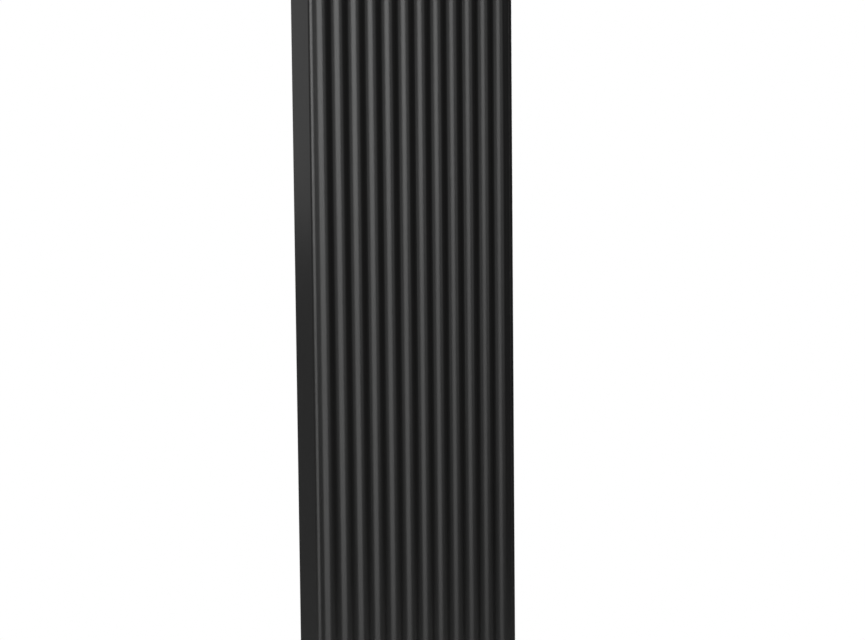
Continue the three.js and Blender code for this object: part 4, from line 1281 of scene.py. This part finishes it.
def make_head_base():
    plastic, nickel, at = head_finish(), nickel_finish(), tuple(VALVE)
    grip = [(19, x) for x in (49, 49.8, 58.7, 59.5)]  # where the knurl starts and ends
    nut = [(15.3, 47), (19, 47), *grip, (19, 61.5), (12.7, 61.5), (12.7, 58.9), (15.3, 58.9)]
    ring = piece("knurled_union_nut", [turned(nut, "x", at, 336, 0.8, 4)], nickel)
    sink_grip(ring, at, 56, 0.7, (49, 59.5), 0.8, (17.5, 18.8), nickel)
    fit(ring, "head_union_nut", crease=STEEP)
    shell = [
        (7.3, 56.3), (14.7, 56.3), (14.7, 58.6), (12.4, 58.6), (12.4, 63), (20, 63), (20, 108),
        (17.5, 108), (17.5, 66), (3.3, 66), (3.3, 63), (7.3, 63),
    ]
    drum = piece("head_drum", [turned(shell, "x", at, 96, 0.7, 4)], plastic)
    window = prism([(0, -4), (22, -4), (22, 4), (0, 4)], (90, 110), "x", at, 0.01)
    carve(drum, [turned_about(window, 60 * i, "x", at) for i in range(6)])
    fit(drum, "head_base")
    pointer = rounded([(65.2, -2.4), (72.2, 0), (65.2, 2.4)], 0.3, 3)
    mark = prism(pointer, (19.6, 20.25), "z", at, 0.08)  # from in the drum to just over it
    spun = turned_about(mark, math.degrees(INDEX) - 90, "x", at)
    fit(piece("index_mark", [spun], finish_of(printed_marks)))


def make_head_cap():
    head, plastic, at = bpy.context.scene.radiator_head, head_finish(), tuple(VALVE)
    ink, numbers_x, dots_between = finish_of(printed_marks), 76.9, 2
    outline = [
        (21, 73), (BAND, 73), (BAND, 80.4), (25, 81.8), (25, 128), (20.9, 128), (20.9, 122),
        (8, 122), (8, 119), (21, 119),
    ]
    profile = rounded(outline, [0.3, 0.8, 0.5, 0.9, 3.0, 0.4, 0.3, 0.3, 0.3, 0.6], 6)
    sides = 32 * head.flutes
    cap = piece("fluted_grip", [swept([[p] * sides for p in profile], "x", at)], plastic)
    depth = head.flute_depth / MM
    sink_grip(cap, at, head.flutes, depth, (81, 140), 2.5, (22.0, 24.8), plastic)
    fit(cap, "head_cap", "thermostat_cap")
    dish = [(0, 122.3), (20.6, 122.3), (20.6, 127.5), (17.4, 127.5), (15.2, 126.4), (0, 126.0)]
    cover = piece("end_cover_disc", [turned(dish, "x", at, 96, 0.5, 4)], plastic)
    fit(cover, "head_end_cover", "thermostat_cap")
    marks = "012345"
    for i, mark in enumerate(marks):
        angle = INDEX - head.sweep * i / (len(marks) - 1)
        made = wrapped(f"number_{mark}", mark, 5.2, numbers_x, angle, BAND, ink)
        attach(made, "thermostat_cap")
    dot = turned(ring_section(0, 0.45, 23.6, 23.92), "z", (numbers_x, 0, 0), 16, 0.05)
    spaces = (dots_between + 1) * (len(marks) - 1)
    dots = []
    for i in range(spaces):
        if i % (dots_between + 1):  # the numbers stand on the rest
            angle = math.degrees(INDEX - head.sweep / spaces * i) - 90
            points, faces = turned_about(dot, angle, "x", (numbers_x, 0, 0))
            dots.append(([tuple(Vector(p) + Vector((0, at[1], at[2]))) for p in points], faces))
    fit(piece("setting_dots", dots, ink), body="thermostat_cap")


# ---------- studio ----------


def aimed(thing, spot, target, roll=0.0):
    """Puts a camera or light at a spot, facing a target, both in metres."""
    away = Vector(spot) - Vector(target)
    turn = away.to_track_quat("Z", "Y").to_matrix() @ Matrix.Rotation(roll, 3, "Z")
    thing.matrix_world = Matrix.Translation(Vector(spot)) @ turn.to_4x4()


def soft_box(name, spot, target, size, power):
    light = bpy.data.lights.new(name, "AREA")
    light.shape, light.energy = "RECTANGLE", power
    light.size, light.size_y = size
    aimed(new_object(name, light), spot, target)


def make_stage():
    studio, scene = bpy.context.scene.radiator_studio, bpy.context.scene
    floor_z = CAD_BOX[0][2] / MM - 0.5
    slab = prism(rectangle(2600, 2000, 60, (0, -100), 8), (floor_z - 8, floor_z), "z", chamfer=2)
    piece("studio_floor", [slab], finish_of(studio_paper))

    key, fill = studio.key_power, studio.fill_power
    upper, lower, centre = (-0.1, -0.07, 1.1), (-0.1, -0.07, 0.6), (0, 0, 0.8)
    for name, spot, target, size, power in (
        ("key light", (-1.68, -1.95, 1.75), upper, (0.75, 1.7), key),
        ("low light", (-1.68, -1.95, 0.2), lower, (0.75, 1.2), 0.65 * fill),
        ("left light", (-2.26, -0.94, 1.75), upper, (0.9, 1.7), 1.5 * key),
        ("left low light", (-2.26, -0.94, 0.2), lower, (0.9, 1.2), 0.6 * fill),
        ("left rear light", (-0.95, 2.3, 1.75), upper, (1.2, 1.6), 0.13 * fill),
        ("front light", (0.3, -3.2, 1.3), centre, (2.2, 2.2), fill),
        ("rear light", (1.6, 2.4, 1.6), centre, (1.6, 2.0), 4 * fill),
        ("right light", (2.0, 0.3, 3.0), centre, (1.6, 1.6), 1.5 * fill),
        ("top light", (0.2, -0.5, 3.7), (0.2, -0.5, 0), (2.4, 2.4), 2 * fill),
    ):
        soft_box(name, spot, target, size, power)

    # the room is white where it is seen, and lights the object only a little
    world = bpy.data.worlds.new("white studio")
    world.use_nodes = True
    tree = world.node_tree
    tree.nodes.clear()
    white = (1, 1, 1, 1)
    seen = add(tree, "ShaderNodeBackground", {"Color": white, "Strength": 1.0})
    around = add(tree, "ShaderNodeBackground", {"Color": white, "Strength": 0.08})
    ray = add(tree, "ShaderNodeLightPath").outputs["Is Camera Ray"]
    both = add(tree, "ShaderNodeMixShader", {0: ray, 1: around, 2: seen})
    add(tree, "ShaderNodeOutputWorld", {"Surface": both})
    scene.world = world
    scene.view_settings.view_transform = "Standard"

    lens = bpy.data.cameras.new("camera")
    lens.lens, lens.sensor_width = studio.lens, 36
    camera = new_object("camera", lens)
    yaw, pitch, roll = math.radians(23.31), math.radians(3.28), math.radians(-0.55)
    spot = Vector((-0.7154, -1.8247, studio.camera_height))
    ahead = Vector((
        math.sin(yaw) * math.cos(pitch), math.cos(yaw) * math.cos(pitch), -math.sin(pitch),
    ))
    aimed(camera, spot, spot + ahead, roll)
    scene.camera = camera


# ---------- operators and panel ----------


class RADIATOR_OT_elements(bpy.types.Operator):
    """Make the four fluted elements with their water tubes and fins"""
    bl_idname = "radiator.elements"
    bl_label = "Fluted elements"

    def execute(self, context):
        make_elements()
        return {"FINISHED"}


class RADIATOR_OT_side_panels(bpy.types.Operator):
    """Make the two side panels with their rounded front corners"""
    bl_idname = "radiator.side_panels"
    bl_label = "Side panels"

    def execute(self, context):
        make_side_panels()
        return {"FINISHED"}


class RADIATOR_OT_grille(bpy.types.Operator):
    """Make the slotted air grille that lies in the top"""
    bl_idname = "radiator.grille"
    bl_label = "Top grille"

    def execute(self, context):
        make_grille()
        return {"FINISHED"}


class RADIATOR_OT_headers(bpy.types.Operator):
    """Make both headers with their welded end caps"""
    bl_idname = "radiator.headers"
    bl_label = "Headers"

    def execute(self, context):
        make_headers()
        return {"FINISHED"}


class RADIATOR_OT_clips(bpy.types.Operator):
    """Make the four clips that hold the side panels"""
    bl_idname = "radiator.clips"
    bl_label = "Panel clips"

    def execute(self, context):
        make_clips()
        return {"FINISHED"}


class RADIATOR_OT_wall_fixings(bpy.types.Operator):
    """Make the wall rails, lugs, pads and levelling screws"""
    bl_idname = "radiator.wall_fixings"
    bl_label = "Wall fixings"

    def execute(self, context):
        make_wall_fixings()
        return {"FINISHED"}


class RADIATOR_OT_air_vent(bpy.types.Operator):
    """Make the air vent with its square screw and turning nozzle"""
    bl_idname = "radiator.air_vent"
    bl_label = "Air vent"

    def execute(self, context):
        make_air_vent()
        return {"FINISHED"}


class RADIATOR_OT_unions(bpy.types.Operator):
    """Make the nipples and hexagon nuts between radiator and valve"""
    bl_idname = "radiator.unions"
    bl_label = "Unions"

    def execute(self, context):
        make_unions()
        return {"FINISHED"}


class RADIATOR_OT_valve_block(bpy.types.Operator):
    """Make the nickel-plated valve block"""
    bl_idname = "radiator.valve_block"
    bl_label = "Valve block"

    def execute(self, context):
        make_valve_block()
        return {"FINISHED"}


class RADIATOR_OT_isolators(bpy.types.Operator):
    """Make the two screwdriver cocks and their gland rings"""
    bl_idname = "radiator.isolators"
    bl_label = "Isolators"

    def execute(self, context):
        make_isolators()
        return {"FINISHED"}


class RADIATOR_OT_insert(bpy.types.Operator):
    """Make the thermostatic insert and the springs and pins inside the head"""
    bl_idname = "radiator.insert"
    bl_label = "Valve insert"

    def execute(self, context):
        make_insert()
        return {"FINISHED"}


class RADIATOR_OT_head_base(bpy.types.Operator):
    """Make the head's knurled nut, drum and index mark"""
    bl_idname = "radiator.head_base"
    bl_label = "Head base"

    def execute(self, context):
        make_head_base()
        return {"FINISHED"}


class RADIATOR_OT_head_cap(bpy.types.Operator):
    """Make the fluted turning cap with its numbers"""
    bl_idname = "radiator.head_cap"
    bl_label = "Head cap"

    def execute(self, context):
        make_head_cap()
        return {"FINISHED"}


class RADIATOR_OT_stage(bpy.types.Operator):
    """Make the floor, the lights and the camera"""
    bl_idname = "radiator.stage"
    bl_label = "Studio"

    def execute(self, context):
        make_stage()
        return {"FINISHED"}


OPERATORS = (
    RADIATOR_OT_elements, RADIATOR_OT_side_panels, RADIATOR_OT_grille, RADIATOR_OT_headers,
    RADIATOR_OT_clips, RADIATOR_OT_wall_fixings, RADIATOR_OT_air_vent, RADIATOR_OT_unions,
    RADIATOR_OT_valve_block, RADIATOR_OT_isolators, RADIATOR_OT_insert, RADIATOR_OT_head_base,
    RADIATOR_OT_head_cap, RADIATOR_OT_stage,
)


class RADIATOR_PT_panel(bpy.types.Panel):
    """The radiator's sizes, colours and pieces"""
    bl_idname = "RADIATOR_PT_panel"
    bl_label = "Fluted radiator"
    bl_space_type = "VIEW_3D"
    bl_region_type = "UI"
    bl_category = "Radiator"

    def draw(self, context):
        for name, settings in SETTINGS.items():
            box = self.layout.box()
            for prop in settings.__annotations__:
                box.prop(getattr(context.scene, name), prop)
        for operator in OPERATORS:
            self.layout.operator(operator.bl_idname)


def register():
    for name, settings in SETTINGS.items():
        bpy.utils.register_class(settings)
        setattr(bpy.types.Scene, name, PointerProperty(type=settings))
    for operator in OPERATORS:
        bpy.utils.register_class(operator)
    bpy.utils.register_class(RADIATOR_PT_panel)


def unregister():
    bpy.utils.unregister_class(RADIATOR_PT_panel)
    for operator in reversed(OPERATORS):
        bpy.utils.unregister_class(operator)
    for name, settings in SETTINGS.items():
        delattr(bpy.types.Scene, name)
        bpy.utils.unregister_class(settings)


def main():
    register()
    for operator in OPERATORS:
        group, name = operator.bl_idname.split(".")
        getattr(getattr(bpy.ops, group), name)()


if __name__ == "__main__":
    main()
